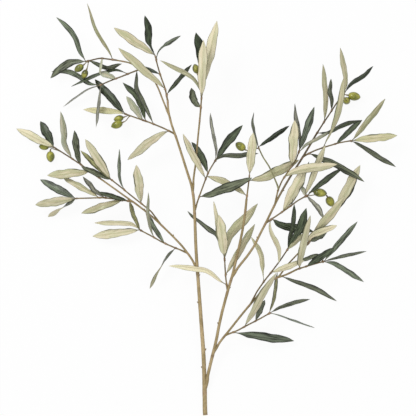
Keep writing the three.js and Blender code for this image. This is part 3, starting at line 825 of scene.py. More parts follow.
colour = tint(tree, colour, painted_side_shade.outputs["Facing"], 0.55, (0.13, 0.085, 0.033))
link(tree, colour, surface.inputs["Base Color"])
bump(tree, surface, streaks, 0.35 * MM, 0.7)
print("material:", bark.name)

# %% [markdown]
# ## How thick, old and dark the wood is
#
# Most of a limb's shape is its thickness. It tapers from its start to its end. It swells where leaves
# and forks grow from it, and it has a collar where it leaves the older wood. Its start lies inside the
# older wood, and is kept thinner than that wood, so that it can't come out on the other side.

# %% Numbers of each limb and shoot
WOOD_AGE = {"main_stem": 1.0, "right_limb": 0.9, "left_side_limb": 0.75, "right_leader": 0.7,
            "lower_right_limb": 0.65, "centre_limb": 0.6, "left_outer_limb": 0.6,
            "far_right_twig": 0.45}
SHOOT_AGE = 0.25
GREEN_SHOOTS = {"slender_twig": 0.85}
DARK_SHOOTS = {"right_leader_tip": 0.8, "left_side_tip": 0.6, "left_outer_tip": 0.75,
               "left_leader_tip": 0.3, "far_right_spur": 0.3, "left_spur": 0.4,
               "right_side_twig": 0.3, "lower_left_twig": 0.2, "centre_right_twig": 0.1,
               "far_right_tip": 0.4, "inner_right_twig": 0.2}
DARK_ENDS = {"right_leader": 0.9, "centre_right_twig": 0.5}         # these turn dark on the way
FULLER = {"right_leader": 1.1, "right_limb": 1.06, "lower_right_limb": 1.06}    # than their solids
STEM_LIFT = 1.26            # the stem's line lies so many radii above the table, or higher
STEM_START, STEM_LOSS = 1.16, 0.26      # the stem is thicker than its solid at its start, and then less so
LEAF_JOINT = (1.5 * MM, 0.58)           # reach of a swelling, and its height as a share of the thin radius
FORK_JOINT = (3.2 * MM, 0.14)
COLLAR_REACH, COLLAR_HEIGHT = 4.0 * MM, 0.16
MOST_INSIDE = 0.8           # of the older wood's radius, for the start that lies in it
TIP_REACH, TIP_SHARE = 3.5 * MM, 0.35   # the rounded end of a shoot, and its last radius as a share
UNEVEN_BARK = 0.07
RING_STEP = 2.2 * MM

children = {node: [] for node in WOOD_NODES}    # node: where the younger wood starts in it
for node in WOOD_NODES[1:]:
    children[GROWS_FROM[node]].append(full_lines[node][0][0])
radius_along = {}           # node: the radius of its wood, as a function of the distance from its start


def fading(distance, reach):
    """1 at no distance, and smoothly less further off."""
    return math.exp(-0.5 * (distance / reach) ** 2)


def distance_along(line, total, point):
    """How far along a line of this total length the place lies that is nearest to a point."""
    index, _gap = nearest_on(line, point)
    return total * index / (len(line) - 1)


def wood_radius(node, total, added, swellings):
    """The radius of a limb or shoot, as a function of the distance from its start."""
    thick, thin = wood_radii[node]
    fuller = FULLER.get(node, 1.0)
    leafy, stem = node in TIP_NODES, node == "main_stem"
    wide, high = LEAF_JOINT if leafy else FORK_JOINT
    most = None
    if not stem:
        older_line = full_lines[GROWS_FROM[node]][0]
        older_total = line_sampler(older_line)[2]
        start = distance_along(older_line, older_total, full_lines[node][0][0])
        most = MOST_INSIDE * radius_along[GROWS_FROM[node]](start)

    def radius_at(distance):
        share = distance / total
        radius = (thick + (thin - thick) * share) * fuller
        if stem:
            radius *= STEM_START - STEM_LOSS * share
        for swelling in swellings:
            radius += high * thin * fading(distance - swelling, wide)
        if most is not None:
            radius *= 1 + COLLAR_HEIGHT * fading(max(0.0, distance - added), COLLAR_REACH)
            narrow = min(radius, most)
            outside = smooth_step(distance, added * 0.3, added + 2 * MM)
            radius = narrow + (radius - narrow) * outside
        if leafy:
            radius *= TIP_SHARE + (1 - TIP_SHARE) * min(1.0, (total - distance) / TIP_REACH) ** 0.6
        return radius

    return radius_at


print("wood that others grow from:", [node for node in WOOD_NODES if children[node]])

# %% [markdown]
# ## Buds
#
# Small pointed buds sit on the older wood and in the corners between leaf and shoot. A bud is a small
# ball that is drawn to a point. It is modelled once, and each copy leans forward against its wood.

# %% Buds
# on the older wood: how far along it, on which side, and how big
OLD_BUDS = {
    "main_stem": [(0.15, "left", 1.5), (0.205, "right", 1.8), (0.355, "left", 1.5),
                  (0.44, "right", 1.2)],
    "right_limb": [(0.36, "left", 1.4), (0.55, "right", 1.1)],
    "right_leader": [(0.3, "left", 1.2), (0.62, "right", 1.2)],
    "left_side_limb": [(0.3, "right", 1.2), (0.56, "right", 1.1)],
}
BUD_RADIUS, BUD_HALF_LENGTH = 0.85 * MM, 1.7 * MM
BUD_CHANCE = 0.7            # that a leaf has a bud in its corner

bpy.ops.object.select_all(action="DESELECT")
bpy.ops.mesh.primitive_uv_sphere_add(segments=8, ring_count=6, radius=1.0)
pattern_bud = bpy.context.object
pattern_bud.name = "pattern_bud"
for vertex in pattern_bud.data.vertices:
    pointed = 1 - 0.5 * max(0.0, vertex.co.z)
    vertex.co.x, vertex.co.y = vertex.co.x * pointed, vertex.co.y * pointed


def copy_of(pattern_piece, name=None):
    """A copy of a piece, with a mesh of its own."""
    copy = pattern_piece.copy()
    copy.data = pattern_piece.data.copy()
    bpy.context.collection.objects.link(copy)
    if name:
        copy.name = name
    return copy


def set_wood_numbers(piece, age, joint, fresh, dark):
    """The four numbers that the bark's material mixes its colours by."""
    for name, value in (("age", age), ("joint", joint), ("fresh", fresh), ("dark", dark)):
        set_number(piece, name, value)


def make_bud(at, heading, radius_at, distance, side, size):
    """A pointed bud that leans forward against the wood. side is a word or a direction."""
    forward = heading(distance)
    if side in ("left", "right"):
        side = Vector((0, 0, 1)).cross(forward) * (1 if side == "left" else -1)
    out = (side - side.dot(forward) * forward).normalized()
    lean = (forward + out * 0.6).normalized()
    turn = lean.to_track_quat("Z", "Y").to_matrix().to_4x4()
    shape = Matrix.Diagonal((BUD_RADIUS * size, BUD_RADIUS * size, BUD_HALF_LENGTH * size, 1))
    place = at(distance) + out * (radius_at(distance) + 0.3 * MM * size)
    bud = copy_of(pattern_bud)
    bud.data.transform(Matrix.Translation(place) @ turn @ shape)
    set_wood_numbers(bud, age=0.3, joint=0.6, fresh=0.0, dark=0.1)
    return bud


print(sum(len(found) for found in OLD_BUDS.values()), "buds on the older wood")

# %% [markdown]
# ## Making the wood
#
# Now each rod is bent, numbered for its bark, and joined with its buds, so that a limb or a shoot is
# one piece.

# %% Make the wood
random.seed(7)


def make_wood(node):
    line, added = full_lines[node]
    if node == "main_stem":
        lowest = STEM_LIFT * wood_radii[node][0]
        line = [Vector((p.x, p.y, max(p.z, lowest))) for p in line]
    at, heading, total = line_sampler(line)
    grown = leaves[node] if node in TIP_NODES else []
    swellings = sorted(distance_along(line, total, stalk_start(leaf)) for leaf in grown)
    swellings += [distance_along(line, total, start) for start in children[node]]
    radius_at = radius_along[node] = wood_radius(node, total, added, swellings)
    rod = straight_rod(node + "_wood", max(8, int(total / RING_STEP)))
    bend_rod(rod, line, radius_at, UNEVEN_BARK, random.random() * 50)

    steps = [nearest_on(line, v.co)[0] / (len(line) - 1) for v in rod.data.vertices]
    age, dark = WOOD_AGE.get(node, SHOOT_AGE), DARK_SHOOTS.get(node, 0.0)
    dark_end = DARK_ENDS.get(node, 0.0)
    set_wood_numbers(
        rod, age=[max(0.0, age - 0.25 * step) for step in steps],
        joint=[max([fading(step * total - s, 1.8 * MM) for s in swellings], default=0.0) for step in steps],
        fresh=GREEN_SHOOTS.get(node, 0.0),
        dark=[dark + dark_end * smooth_step(step, 0.5, 0.65) for step in steps])

    buds = [make_bud(at, heading, radius_at, share * total, side, size)
            for share, side, size in OLD_BUDS.get(node, [])]
    for leaf in grown:
        if random.random() < BUD_CHANCE:
            distance = distance_along(line, total, stalk_start(leaf))
            side = (leaf["stations"][-2][1] - at(distance)).normalized()
            size = 0.6 + 0.4 * random.random()
            buds.append(make_bud(at, heading, radius_at, distance + MM, side, size))
    finish_piece(join_copies([rod] + buds, rod.name), bark, node)


for node in WOOD_NODES:
    make_wood(node)
bpy.data.objects.remove(pattern_bud)
print(len(WOOD_NODES), "pieces of wood")

# %% [markdown]
# ## One leaf, modelled once
#
# An olive leaf is narrow and stiff. It is a long blade on a short round stalk, with a small point at the
# tip. The upper face is folded a little along the midrib, and the midrib stands out on the underside.
# The pattern leaf starts as a cylinder too: its sixteen sides become stalk first, and then open
# into the two faces of the blade. It is kept straight, and each leaf is a copy that is bent on
# its own midrib.

# %% Pattern leaf
LEAF_SIDES = 16
LEAF_RINGS = 27
# where the corners of a ring lie across the open blade: 1 is the left edge and -1 the right one
TOP_SPREAD = [1.0, 0.82, 0.5, 0.16, 0.0, -0.16, -0.5, -0.82, -1.0]
UNDER_SPREAD = [-0.82, -0.5, -0.13, 0.0, 0.13, 0.5, 0.82]
BLADE_START, BLADE_OPEN = 0.03, 0.09    # shares of the length over which the stalk opens out
# how wide the blade is, as a share of its full width, at these shares of its length
WIDTH_SHARES = [0.0, 0.05, 0.12, 0.2, 0.36, 0.54, 0.72, 0.86, 0.95, 1.0]
WIDTH_VALUES = [0.0, 0.16, 0.46, 0.68, 0.92, 1.03, 0.96, 0.66, 0.30, 0.02]
STALK_RADIUS = 0.85 * MM
# corners of a ring, counted round it: 0 is the left edge
TOP_RIB, RIGHT_EDGE, UNDER_RIB = 4, 8, 12


def hermite(xs, ys):
    """A smooth curve through numbers or places, with no kinks."""
    xs, ys = np.array(xs, float), np.array(ys, float)
    slopes = np.gradient(ys, xs, axis=0)

    def value(x):
        i = int(np.clip(np.searchsorted(xs, x) - 1, 0, len(xs) - 2))
        h = xs[i + 1] - xs[i]
        t = (x - xs[i]) / h
        return ((2 * t ** 3 - 3 * t ** 2 + 1) * ys[i] + (t ** 3 - 2 * t ** 2 + t) * h * slopes[i]
                + (-2 * t ** 3 + 3 * t ** 2) * ys[i + 1] + (t ** 3 - t ** 2) * h * slopes[i + 1])

    return value


leaf_width = hermite(WIDTH_SHARES, WIDTH_VALUES)

pattern = straight_rod("pattern_leaf", LEAF_RINGS, LEAF_SIDES)
pick(pattern)
pattern_share, pattern_place = [], []
for vertex in pattern.data.vertices:
    pattern_share.append(vertex.co.z)
    turn = math.atan2(vertex.co.y, vertex.co.x) / (2 * math.pi) * LEAF_SIDES
    pattern_place.append(round(turn) % LEAF_SIDES)
spread = TOP_SPREAD + UNDER_SPREAD
leaf_uv = pattern.data.uv_layers.active
for face in pattern.data.polygons:
    corners = [pattern.data.loops[i].vertex_index for i in face.loop_indices]
    under = any(pattern_place[c] > RIGHT_EDGE for c in corners)
    for i in face.loop_indices:
        corner = pattern.data.loops[i].vertex_index
        v = spread[pattern_place[corner]]
        leaf_uv.data[i].uv = (pattern_share[corner], 0.5 + (v + 1) / 4 if under else (1 - v) / 4)
print("pattern leaf:", len(pattern.data.polygons), "faces")


# %% A leaf bent on its own midrib
SMALL_STEP = 0.01           # share of the length, ahead and behind, that the direction is taken over
FOLD_CURVE = 1.35
GROOVE = 0.22 * MM          # the upper face dips along the midrib
RIB_HEIGHT, RIB_AT_TIP = 0.55, 0.12     # mm that the midrib stands out on the underside
RIM_DROP = 0.25 * MM        # the edges are rolled down a little


def leaf_rings(leaf, start):
    """By share of the leaf's length: the place of a ring, and which way is left and up there."""
    stations = leaf["stations"][::-1]
    shares = [0.0] + [s[0] for s in stations] + [1.0]
    places = [start] + [s[1] for s in stations] + [leaf["tip"]]
    spine = hermite(shares, [tuple(p) for p in places])
    upward = [s[2] for s in stations]
    ups = hermite(shares, [tuple(u) for u in (upward[0], *upward, upward[-1])])
    rings = {}
    for share in sorted({round(s, 5) for s in pattern_share}):
        ahead = Vector(spine(min(1.0, share + SMALL_STEP)))
        behind = Vector(spine(max(0.0, share - SMALL_STEP)))
        along = (ahead - behind).normalized()
        up = Vector(ups(share))
        up = (up - up.dot(along) * along).normalized()
        rings[share] = (Vector(spine(share)), up.cross(along), up)
    return rings


def half_width(full, share, slack, closed_to):
    """Half the width of the blade, on the side that has this slack in its edge."""
    beat, shift = slack
    uneven = 1 + 0.09 * math.sin(share * beat + shift) + 0.04 * math.sin(share * 31 + shift * 3)
    half = full * max(0.012, float(leaf_width(share))) * uneven
    if closed_to is not None:
        half *= 0.45 + 0.55 * smooth_step(share, closed_to - 0.08, closed_to + 0.1)
    return half


def blade_height(corner, share, half, fold, ripple, phase):
    """How far above the midrib's line a corner of the open blade lies."""
    v = spread[corner]
    curl = -fold * half * (1 - abs(v) ** FOLD_CURVE)
    ease = 1 - smooth_step(share, 0.55, 1.0)        # the blade gets thinner towards its tip
    body = (0.30 + 0.20 * ease) * MM * (1 - abs(v) ** 3) * (0.4 + 0.6 * ease)
    lift = body * 0.5 if corner <= RIGHT_EDGE else -body * 0.5
    if corner == TOP_RIB:
        lift -= GROOVE * (0.35 + 0.65 * ease)
    if corner == UNDER_RIB:
        lift -= (RIB_HEIGHT * ease + RIB_AT_TIP) * MM
    rim = -RIM_DROP * smooth_step(abs(v), 0.75, 1.0) * (1 if half > 2 * MM else 0.4)
    wave = math.sin(share * 15 + phase + (1.5 if v > 0 else 0))
    rippled = ripple * wave * v * v * smooth_step(share, 0.2, 0.4)
    return curl + lift + rim + rippled


def stalk_radius_at(share):
    """The stalk is thicker where it leaves the wood, and again where the blade starts."""
    foot = 0.35 * smooth_step(share, 0.03, 0.0)
    neck = 0.15 * smooth_step(share, 0.05, 0.12)
    return STALK_RADIUS * (1.0 + foot + neck)


def bend_leaf(leaf, start, number, wider=1.0, closed_to=None, lift_by=0.0):
    """A copy of the pattern leaf, set on the midrib of one leaf. Its stalk leaves the wood at start.

    The blade is so many times wider than in the solid. It stays rolled up to the share closed_to of
    its length, if that is given, and it lies higher by lift_by.
    """
    copy = copy_of(pattern)
    half_full, fold = leaf["width"] / 2 * wider, leaf["fold"]
    wave = random.Random(number)
    phase, sway = wave.random() * 6.28, (wave.random() - 0.5) * 0.6 * MM
    ripple = (0.15 + 0.35 * wave.random()) * MM
    slack_left, slack_right = [(8 + 9 * wave.random(), 6.28 * wave.random()) for _ in range(2)]
    rings = leaf_rings(leaf, start)
    for vertex, share, corner in zip(copy.data.vertices, pattern_share, pattern_place):
        here, left, up = rings[round(share, 5)]
        v = spread[corner]
        half = half_width(half_full, share, slack_left if v > 0 else slack_right, closed_to)
        flat = left * half * v + up * blade_height(corner, share, half, fold, ripple, phase)
        angle = 2 * math.pi * corner / LEAF_SIDES
        tube = (left * math.cos(angle) + up * math.sin(angle) * 0.9) * stalk_radius_at(share)
        offset = tube.lerp(flat, smooth_step(share, BLADE_START, BLADE_OPEN))
        here = here + Vector((0, 0, lift_by * smooth_step(share, 0.1, 0.5)))
        bow = math.sin(share * 7 + phase)
        vertex.co = here + offset + left * sway * bow * smooth_step(share, 0.15, 0.5) * (1 - share)
    return copy


print("leaves to make:", sum(len(found) for found in leaves.values()))

# %% [markdown]
# ## Leaf colours
#
# The two faces of an olive leaf differ a great deal. The upper face is dark green and waxy. The
# underside is covered in tiny pale scales, so it looks cream or silvery and stays dull. The leaf's own
# flat map says which face is which. No two leaves have quite the same colour, so each one also
# carries a colour for both of its faces, and the material only adds what all of them share: streaks
# along the blade, a darker margin, the midrib, and painted light. The light streaks and a sheen on the
# upper face are painted reflections, and one half of each blade, left or right of the midrib, is
# painted lighter than the other as painted light and shade of the fold.

# %% Leaf material
leaf_material, tree, surface, place = new_material("olive_leaf", 0.5)
uv = tree.nodes.new("ShaderNodeUVMap")
uv.uv_map = "UVMap"
parts = tree.nodes.new("ShaderNodeSeparateXYZ")
link(tree, uv.outputs["UV"], parts.inputs[0])
along_leaf, around_leaf = parts.outputs[0], parts.outputs[1]
is_under = maths(tree, "GREATER_THAN", around_leaf, 0.5)
face_share = maths(tree, "FRACT", maths(tree, "MULTIPLY", around_leaf, 2.0))
from_rib = maths(tree, "ABSOLUTE", maths(tree, "SUBTRACT", 1.0, maths(tree, "MULTIPLY", face_share, 2.0)))


def colour_attribute(name):
    node = tree.nodes.new("ShaderNodeAttribute")
    node.attribute_name = name
    return node.outputs["Color"]


# streaks run along the blade; each leaf's own number shifts them
own = tree.nodes.new("ShaderNodeCombineXYZ")
link(tree, maths(tree, "MULTIPLY", along_leaf, 5.0), own.inputs[0])
link(tree, maths(tree, "MULTIPLY", around_leaf, 14.0), own.inputs[1])
link(tree, maths(tree, "MULTIPLY", attribute(tree, "own"), 50.0), own.inputs[2])
streaks = noise_node(tree, own.outputs[0], 1.0, 3.0, 0.6)
# the patches are the same flat map, stretched, so they are broad and soft
wide = tree.nodes.new("ShaderNodeMapping")
wide.inputs["Scale"].default_value = (0.6, 0.45, 1.0)
link(tree, own.outputs[0], wide.inputs["Vector"])
patches = noise_node(tree, wide.outputs["Vector"], 1.0, 2.0, 0.5)


def some_leaves(times, share):
    """1 on some leaves and 0 on the others, by each leaf's own number."""
    mixed = maths(tree, "FRACT", maths(tree, "MULTIPLY", attribute(tree, "own"), times))
    return maths(tree, "GREATER_THAN", mixed, share)


# painted light and shade of the fold: one half of the blade, left or right of the midrib, is painted
# lighter than the other
half_of = contrast(tree, face_share, 0.46, 0.54)
which = some_leaves(7.0, 0.5)
painted_lit_half = maths(tree, "ABSOLUTE", maths(tree, "SUBTRACT", half_of, which))

upper = colour_attribute("upper_colour")
lighter = mix_colour(tree, 1.0, upper, (3.1, 3.2, 3.1), "MULTIPLY")
darker = mix_colour(tree, 1.0, upper, (0.13, 0.15, 0.12), "MULTIPLY")
upper = tint(tree, upper, painted_lit_half, 0.28, lighter)
# painted reflections: light streaks along the upper face
upper = tint(tree, upper, contrast(tree, streaks, 0.50, 0.72), 0.7, lighter)
upper = tint(tree, upper, contrast(tree, streaks, 0.50, 0.36), 0.85, darker)
# painted sheen: broad light patches on the upper face
upper = tint(tree, upper, contrast(tree, patches, 0.50, 0.66), 0.5, lighter)        # sheen
upper = tint(tree, upper, contrast(tree, from_rib, 0.55, 0.92), 0.85, darker)       # margin
upper = tint(tree, upper, contrast(tree, from_rib, 0.12, 0.03), 0.4, lighter)       # midrib

under = colour_attribute("under_colour")
# the same painted light and shade of the fold, on the underside
under = tint(tree, under, painted_lit_half, 0.22, (0.46, 0.46, 0.28))
under = tint(tree, under, contrast(tree, patches, 0.48, 0.66), 0.5, (0.72, 0.61, 0.44))
under = tint(tree, under, contrast(tree, patches, 0.50, 0.34), 0.38, (0.45, 0.50, 0.28))
under = tint(tree, under, contrast(tree, streaks, 0.52, 0.70), 0.5, (0.86, 0.84, 0.66))
under = tint(tree, under, contrast(tree, streaks, 0.44, 0.30), 0.6, (0.30, 0.29, 0.16))
under = tint(tree, under, contrast(tree, from_rib, 0.80, 1.0), 0.6, (0.20, 0.19, 0.09))     # margin
# some edges roll over and show a strip of the dark face
side_share = maths(tree, "ABSOLUTE", maths(tree, "SUBTRACT", face_share, which))
edge, broken = contrast(tree, side_share, 0.80, 0.90), contrast(tree, patches, 0.47, 0.56)
strip = maths(tree, "MULTIPLY", maths(tree, "MULTIPLY", edge, broken), some_leaves(13.0, 0.55))
under = tint(tree, under, strip, 0.85, (0.10, 0.115, 0.055))
under = tint(tree, under, contrast(tree, from_rib, 0.20, 0.07), 0.5, (0.44, 0.43, 0.22))    # midrib

colour = mix_colour(tree, is_under, upper, under)
colour = tint(tree, colour, contrast(tree, along_leaf, 0.12, 0.04), 0.8, (0.11, 0.095, 0.05))   # stalk
link(tree, colour, surface.inputs["Base Color"])
link(tree, maths(tree, "ADD", maths(tree, "MULTIPLY", is_under, 0.40), 0.38), surface.inputs["Roughness"])
surface.inputs["Specular IOR Level"].default_value = 0.3
fine = noise_node(tree, place, 900.0, 2.0)
height = maths(tree, "ADD", maths(tree, "MULTIPLY", streaks, 0.9), maths(tree, "MULTIPLY", fine, 0.3))
bump(tree, surface, height, 0.4 * MM, 0.7)
print("material:", leaf_material.name)

# %% [markdown]
# The looks are named by words: for a leaf that shows its upper face `black`, `dark`, `deep`, `mid`,
# `grey` or `olive`, and for one that shows its underside `cream`, `pale`, `sage`, `dusty`, `yellow` or
# `green`. They are listed from the base of each shoot to its end. The face that is turned away takes
# a usual colour. A plus sign makes a leaf one step lighter, and a minus sign one step darker.

# %% Make the leaves
UPPER_COLOURS = {
    "black": (0.026, 0.035, 0.019), "dark": (0.049, 0.061, 0.036), "deep": (0.084, 0.092, 0.060),
    "mid": (0.108, 0.127, 0.087), "grey": (0.162, 0.160, 0.128), "olive": (0.205, 0.200, 0.095),
}
UNDER_COLOURS = {
    "cream": (0.75, 0.685, 0.475), "pale": (0.60, 0.555, 0.38), "sage": (0.50, 0.47, 0.295),
    "dusty": (0.385, 0.41, 0.325), "yellow": (0.67, 0.63, 0.37), "green": (0.29, 0.285, 0.15),
}
TONE_STEP = 1.25            # how many times lighter one plus is
LOOKS = {
    "centre_right_twig": "sage+ cream+ sage+ dark dark+",
    "centre_tip": "deep cream sage- black cream",
    "far_right_spur": "deep sage dark+ deep yellow green",
    "far_right_tip": "cream+ deep sage pale deep",
    "inner_right_twig": "deep cream dark deep grey+ dark",
    "left_leader_tip": "dark sage black mid black sage",
    "left_lower_twig": "dark sage- grey- sage pale mid- pale-",
    "left_lowest_twig": "sage-- mid dusty- cream olive cream",
    "left_outer_tip": "green dusty deep mid deep",
    "left_side_tip": "sage deep dusty cream dark-",
    "left_spur": "dark dusty grey- mid grey",
    "left_upper_twig": "pale mid+ olive deep pale",
    "lower_left_twig": "pale- deep dark+ dusty dark- yellow",
    "lower_right_tip": "pale dark deep mid deep mid",
    "lowest_right_twig": "mid-- pale deep olive- mid deep",
    "middle_spur": "cream+ sage sage deep pale+ cream",
    "right_inner_tip": "cream cream dusty grey mid-",
    "right_leader_tip": "dark sage deep sage black",
    "right_limb_tip": "sage sage cream",
    "right_side_twig": "pale dark cream mid pale+ grey++ dusty dark",
    "slender_twig": "deep black",
    "lowest_leaf": "deep",
}


def set_colour(obj, name, colour):
    made = obj.data.attributes.new(name, "FLOAT_COLOR", "POINT")
    made.data.foreach_set("color", np.tile(np.array([*colour, 1.0], np.float32), len(obj.data.vertices)))


# a few leaves differ from the rest: by node and number, from the base of the shoot
ODD_LEAVES = {
    ("right_side_twig", 2): {"wider": 1.4, "lift_by": 3 * MM},
    ("right_side_twig", 3): {"wider": 0.9, "lift_by": -12 * MM},
    ("left_leader_tip", 3): {"wider": 1.25, "closed_to": 0.5},
    ("left_leader_tip", 2): {"wider": 0.7},
    ("left_leader_tip", 4): {"wider": 1.1, "closed_to": 0.3},
    ("centre_right_twig", 0): {"wider": 1.1, "closed_to": 0.25},
    ("lowest_right_twig", 0): {"closed_to": 0.15},
}

OWN_NUMBERS = 1000          # apart from the numbers that shape the leaves


def make_leaves(node, words, first):
    """The leaves of one shoot as one piece. first is the number of the first leaf."""
    line = full_lines[node if node in full_lines else GROWS_FROM[node]][0]
    in_order = sorted(leaves[node], key=lambda leaf: nearest_on(line, stalk_start(leaf))[0])
    copies = []
    for index, (leaf, look) in enumerate(zip(in_order, words.split(), strict=True)):
        tone, word = TONE_STEP ** (look.count("+") - look.count("-")), look.strip("+-")
        upper_colour = UPPER_COLOURS.get(word, UPPER_COLOURS["deep"])
        under_colour = UNDER_COLOURS.get(word, UNDER_COLOURS["sage"])
        start = line[nearest_on(line, stalk_start(leaf))[0]]
        copy = bend_leaf(leaf, start, first + index, **ODD_LEAVES.get((node, index), {}))
        set_colour(copy, "upper_colour", [c * tone for c in upper_colour])
        set_colour(copy, "under_colour", [c * tone for c in under_colour])
        set_number(copy, "own", random.Random(OWN_NUMBERS + first + index).random())
        copies.append(copy)
    piece = join_copies(copies, "lowest_leaf_blade" if node == "lowest_leaf" else node + "_leaves")
    finish_piece(piece, leaf_material, node)
    return len(copies)


count = 0
for node, words in LOOKS.items():
    count += make_leaves(node, words, count)
print(count, "leaves made")
bpy.data.objects.remove(pattern)

# %% [markdown]
# ## Olives
#
# The fruit is a smooth, slightly pointed egg. Where the stalk enters there is a small dimple. One
# olive is modelled as a ball that is drawn out at one end, and every fruit is a copy, with its own
# size, direction and slight unevenness.

# %% Reading the olives
OLIVE_SIDES = 10
STALK_SLIM = 0.95 * MM
FRUIT_SKIN = 1.12           # a corner further out than this, in fruit radii, belongs to the stalk
RING_GAP = 2.0 * MM         # corners of the stalk closer than this belong to one ring
FIRST_RING = 0.82           # how far from a fruit's middle its first ring lies, in half lengths
WIDEST_RING = 2


def read_olive(node):
    """Centre, axis, length and diameter of a fruit."""
    solid = merged_copy(node)
    best = None
    for vertex in solid.verts:
        if len(vertex.link_edges) != OLIVE_SIDES:
            continue
        rings = rings_from(vertex, OLIVE_SIDES)
        if best is None or len(rings) > len(best[1]):
            best = (vertex, rings)
    vertex, rings = best
    centres = [centre_of([v.co for v in ring]) for ring in rings]
    axis = (vertex.co - centres[WIDEST_RING]).normalized()
    length = (vertex.co - centres[0]).length / ((1 - FIRST_RING) / 2)
    wide = 2 * max((v.co - centres[WIDEST_RING]).length for v in rings[WIDEST_RING])
    found = {"centre": vertex.co - axis * length / 2, "axis": axis, "length": length, "width": wide}
    solid.free()
    return found


def stalk_line(node, olive):
    """The centre line of a fruit's stalk, from the shoot to the fruit."""
    solid = merged_copy(node)
    centre, axis = olive["centre"], olive["axis"]
    near_end = centre - axis * olive["length"] / 2
    outside = []
    for vertex in solid.verts:
        out = vertex.co - centre
        along = out.dot(axis)
        across = (out - along * axis).length
        if math.hypot(along / (olive["length"] / 2), across / (olive["width"] / 2)) > FRUIT_SKIN:
            outside.append(((vertex.co - near_end).length, vertex.co.copy()))
    solid.free()
    outside.sort(key=lambda pair: -pair[0])
    groups = [[outside[0]]]
    for pair in outside[1:]:
        if groups[-1][-1][0] - pair[0] > RING_GAP:
            groups.append([])
        groups[-1].append(pair)
    places = [centre_of([p for _, p in group]) for group in groups] + [near_end]
    shares = [0.0]
    for a, b in zip(places, places[1:]):
        shares.append(shares[-1] + (b - a).length)
    curve = hermite(shares, [tuple(p) for p in places])
    count = max(4, int(shares[-1] / FEEL_STEP))
    return [Vector(curve(shares[-1] * i / count)) for i in range(count + 1)]


olives = {}
for node in OLIVE_NODES:
    olives[node] = olive = read_olive(node)
    wood_lines[node] = stalk_line(node, olive)
    size = f"{olive['length'] / MM:.0f} by {olive['width'] / MM:.0f} mm"
    print(f"{node}: {size}, stalk {len(wood_lines[node]) * FEEL_STEP / MM:.0f} mm")

# %% Pattern olive
bpy.ops.object.select_all(action="DESELECT")
bpy.ops.mesh.primitive_uv_sphere_add(segments=32, ring_count=22, radius=1.0)
pattern_olive = bpy.context.object
pattern_olive.name = "pattern_olive"
for vertex in pattern_olive.data.vertices:
    x, y, z = vertex.co
    # a fuller shoulder near the stalk, a slight point at the free end, and the dimple
    swell = 1.0 + 0.05 * (1 - z * z) - 0.045 * z
    vertex.co.x, vertex.co.y = x * swell * 0.97, y * swell * 0.97
    if z > 0.93:
        vertex.co.z += 0.05 * ((z - 0.93) / 0.07) ** 2
    if z < -0.9:
        vertex.co.z += 0.10 * ((-0.9 - z) / 0.1) ** 1.5
print("pattern olive:", len(pattern_olive.data.polygons), "faces")

# %% [markdown]
# Ripening fruit is yellow-green, with a soft bloom of darker and lighter areas and many pale pores.
# Its skin is waxy and shines. On top of that, bright yellow-green patches are painted highlights, and
# the rim of each fruit is painted dark as painted shade.

# %% Olive material
olive_skin, tree, surface, place = new_material("olive_skin", 0.3)
surface.inputs["Specular IOR Level"].default_value = 0.3
skin = put_group(tree, mottle, Vector=place, Scale=75.0,
                 Colour_A=(0.36, 0.37, 0.06), Colour_B=(0.17, 0.19, 0.03))
ripe = attribute(tree, "ripe")
colour = mix_colour(tree, ripe, skin.outputs["Colour"], (0.075, 0.075, 0.03))
# painted highlights: bright yellow-green patches laid over the skin
painted_highlight_patches = contrast(tree, noise_node(tree, place, 45.0, 2.0), 0.45, 0.64)
colour = tint(tree, colour, painted_highlight_patches, 0.72, (0.60, 0.57, 0.10))
pores = put_group(tree, flecks, Vector=place, Scale=520.0, Size=0.22)
colour = tint(tree, colour, pores.outputs["Mask"], 0.35, (0.58, 0.58, 0.26))
# painted shade: the rim of each fruit, where it turns away from the camera, is painted dark
edge = tree.nodes.new("ShaderNodeLayerWeight")
edge.inputs["Blend"].default_value = 0.46
colour = mix_colour(tree, edge.outputs["Facing"], colour, (0.035, 0.045, 0.012))
link(tree, colour, surface.inputs["Base Color"])
surface.inputs["Coat Weight"].default_value = 0.25
surface.inputs["Coat Roughness"].default_value = 0.12
bump(tree, surface, noise_node(tree, place, 260.0, 3.0), 0.12 * MM, 0.5)
print("material:", olive_skin.name)

# %% Make the olives
RIPE = {"olive_centre": 0.95, "olive_outer_left": 0.45, "olive_outer_right": 0.75,
        "olive_side_upper": 0.45, "olive_slender": 0.2, "olive_lower_left_back": 0.25}
LEAST_RIPE = 0.08           # the other olives are ripe by this much at most
LUMPS_OF_FRUIT, LUMP_HEIGHT = 70, 0.5 * MM
STALK_END = 0.42            # how far into the fruit its stalk reaches, from its middle, in lengths
STALK_SIDES = 12


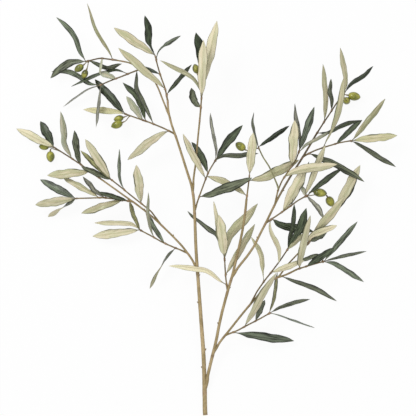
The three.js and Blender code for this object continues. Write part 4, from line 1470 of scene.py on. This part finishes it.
def make_fruit(number, node):
    """A copy of the pattern olive, in its place and a little uneven. No fruit sinks into the table."""
    olive = olives[node]
    fruit = copy_of(pattern_olive, node + "_fruit")
    turn = olive["axis"].to_track_quat("Z", "Y").to_matrix().to_4x4()
    size = Matrix.Diagonal((olive["width"] / 2, olive["width"] / 2, olive["length"] / 2, 1))
    fruit.data.transform(Matrix.Translation(olive["centre"]) @ turn @ size)
    for vertex in fruit.data.vertices:
        out = (vertex.co - olive["centre"]).normalized()
        lump = noise.noise(vertex.co * LUMPS_OF_FRUIT + Vector((number * 3.1, 0, 0)))
        vertex.co += out * lump * LUMP_HEIGHT
    sunk = min(v.co.z for v in fruit.data.vertices)
    if sunk < 0:
        fruit.data.transform(Matrix.Translation((0, 0, -sunk)))
    set_number(fruit, "ripe", RIPE.get(node, LEAST_RIPE * random.random()))
    finish_piece(fruit, olive_skin, node)


def make_stalk(node):
    """The stalk of a fruit. It is thicker where it leaves the wood, and where the fruit hangs on it."""
    olive = olives[node]
    near_end = olive["centre"] - olive["axis"] * olive["length"] * STALK_END
    line, added = led_back(wood_lines[node], full_lines[GROWS_FROM[node]][0])
    line = line + [line[-1].lerp(near_end, (i + 1) / 4) for i in range(4)]
    line = smoothed(line, 3 * MM)
    total = line_sampler(line)[2]

    def stalk_radius(distance):
        by_fruit = fading(max(0.0, total - distance - 3 * MM), 1.5 * MM)
        by_wood = fading(max(0.0, distance - added), 1.2 * MM)
        return STALK_SLIM * (1 + 0.8 * by_fruit + 0.5 * by_wood)

    stalk = straight_rod(node + "_stalk", max(8, int(total / (1.5 * MM))), STALK_SIDES)
    bend_rod(stalk, line, stalk_radius, 0.06, random.random() * 50)
    set_wood_numbers(stalk, age=0.1, joint=0.25, fresh=0.4, dark=0.0)
    finish_piece(stalk, bark, node)


for number, node in enumerate(OLIVE_NODES):
    make_fruit(number, node)
    make_stalk(node)
bpy.data.objects.remove(pattern_olive)
print(len(OLIVE_NODES), "olives with their stalks")

# %% [markdown]
# ## The finished branch
#
# Last, the size of the finished branch is compared with the model that it was built on.

# %% Sizes
visual_low, visual_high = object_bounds()
faces = sum(len(o.data.polygons) for o in bpy.data.objects if o.type == "MESH" and "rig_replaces" in o)
print("faces in all:", faces)
for a, b in zip((cad_low, cad_high), (visual_low, visual_high)):
    print([round(v, 4) for v in a], [round(v, 4) for v in b])
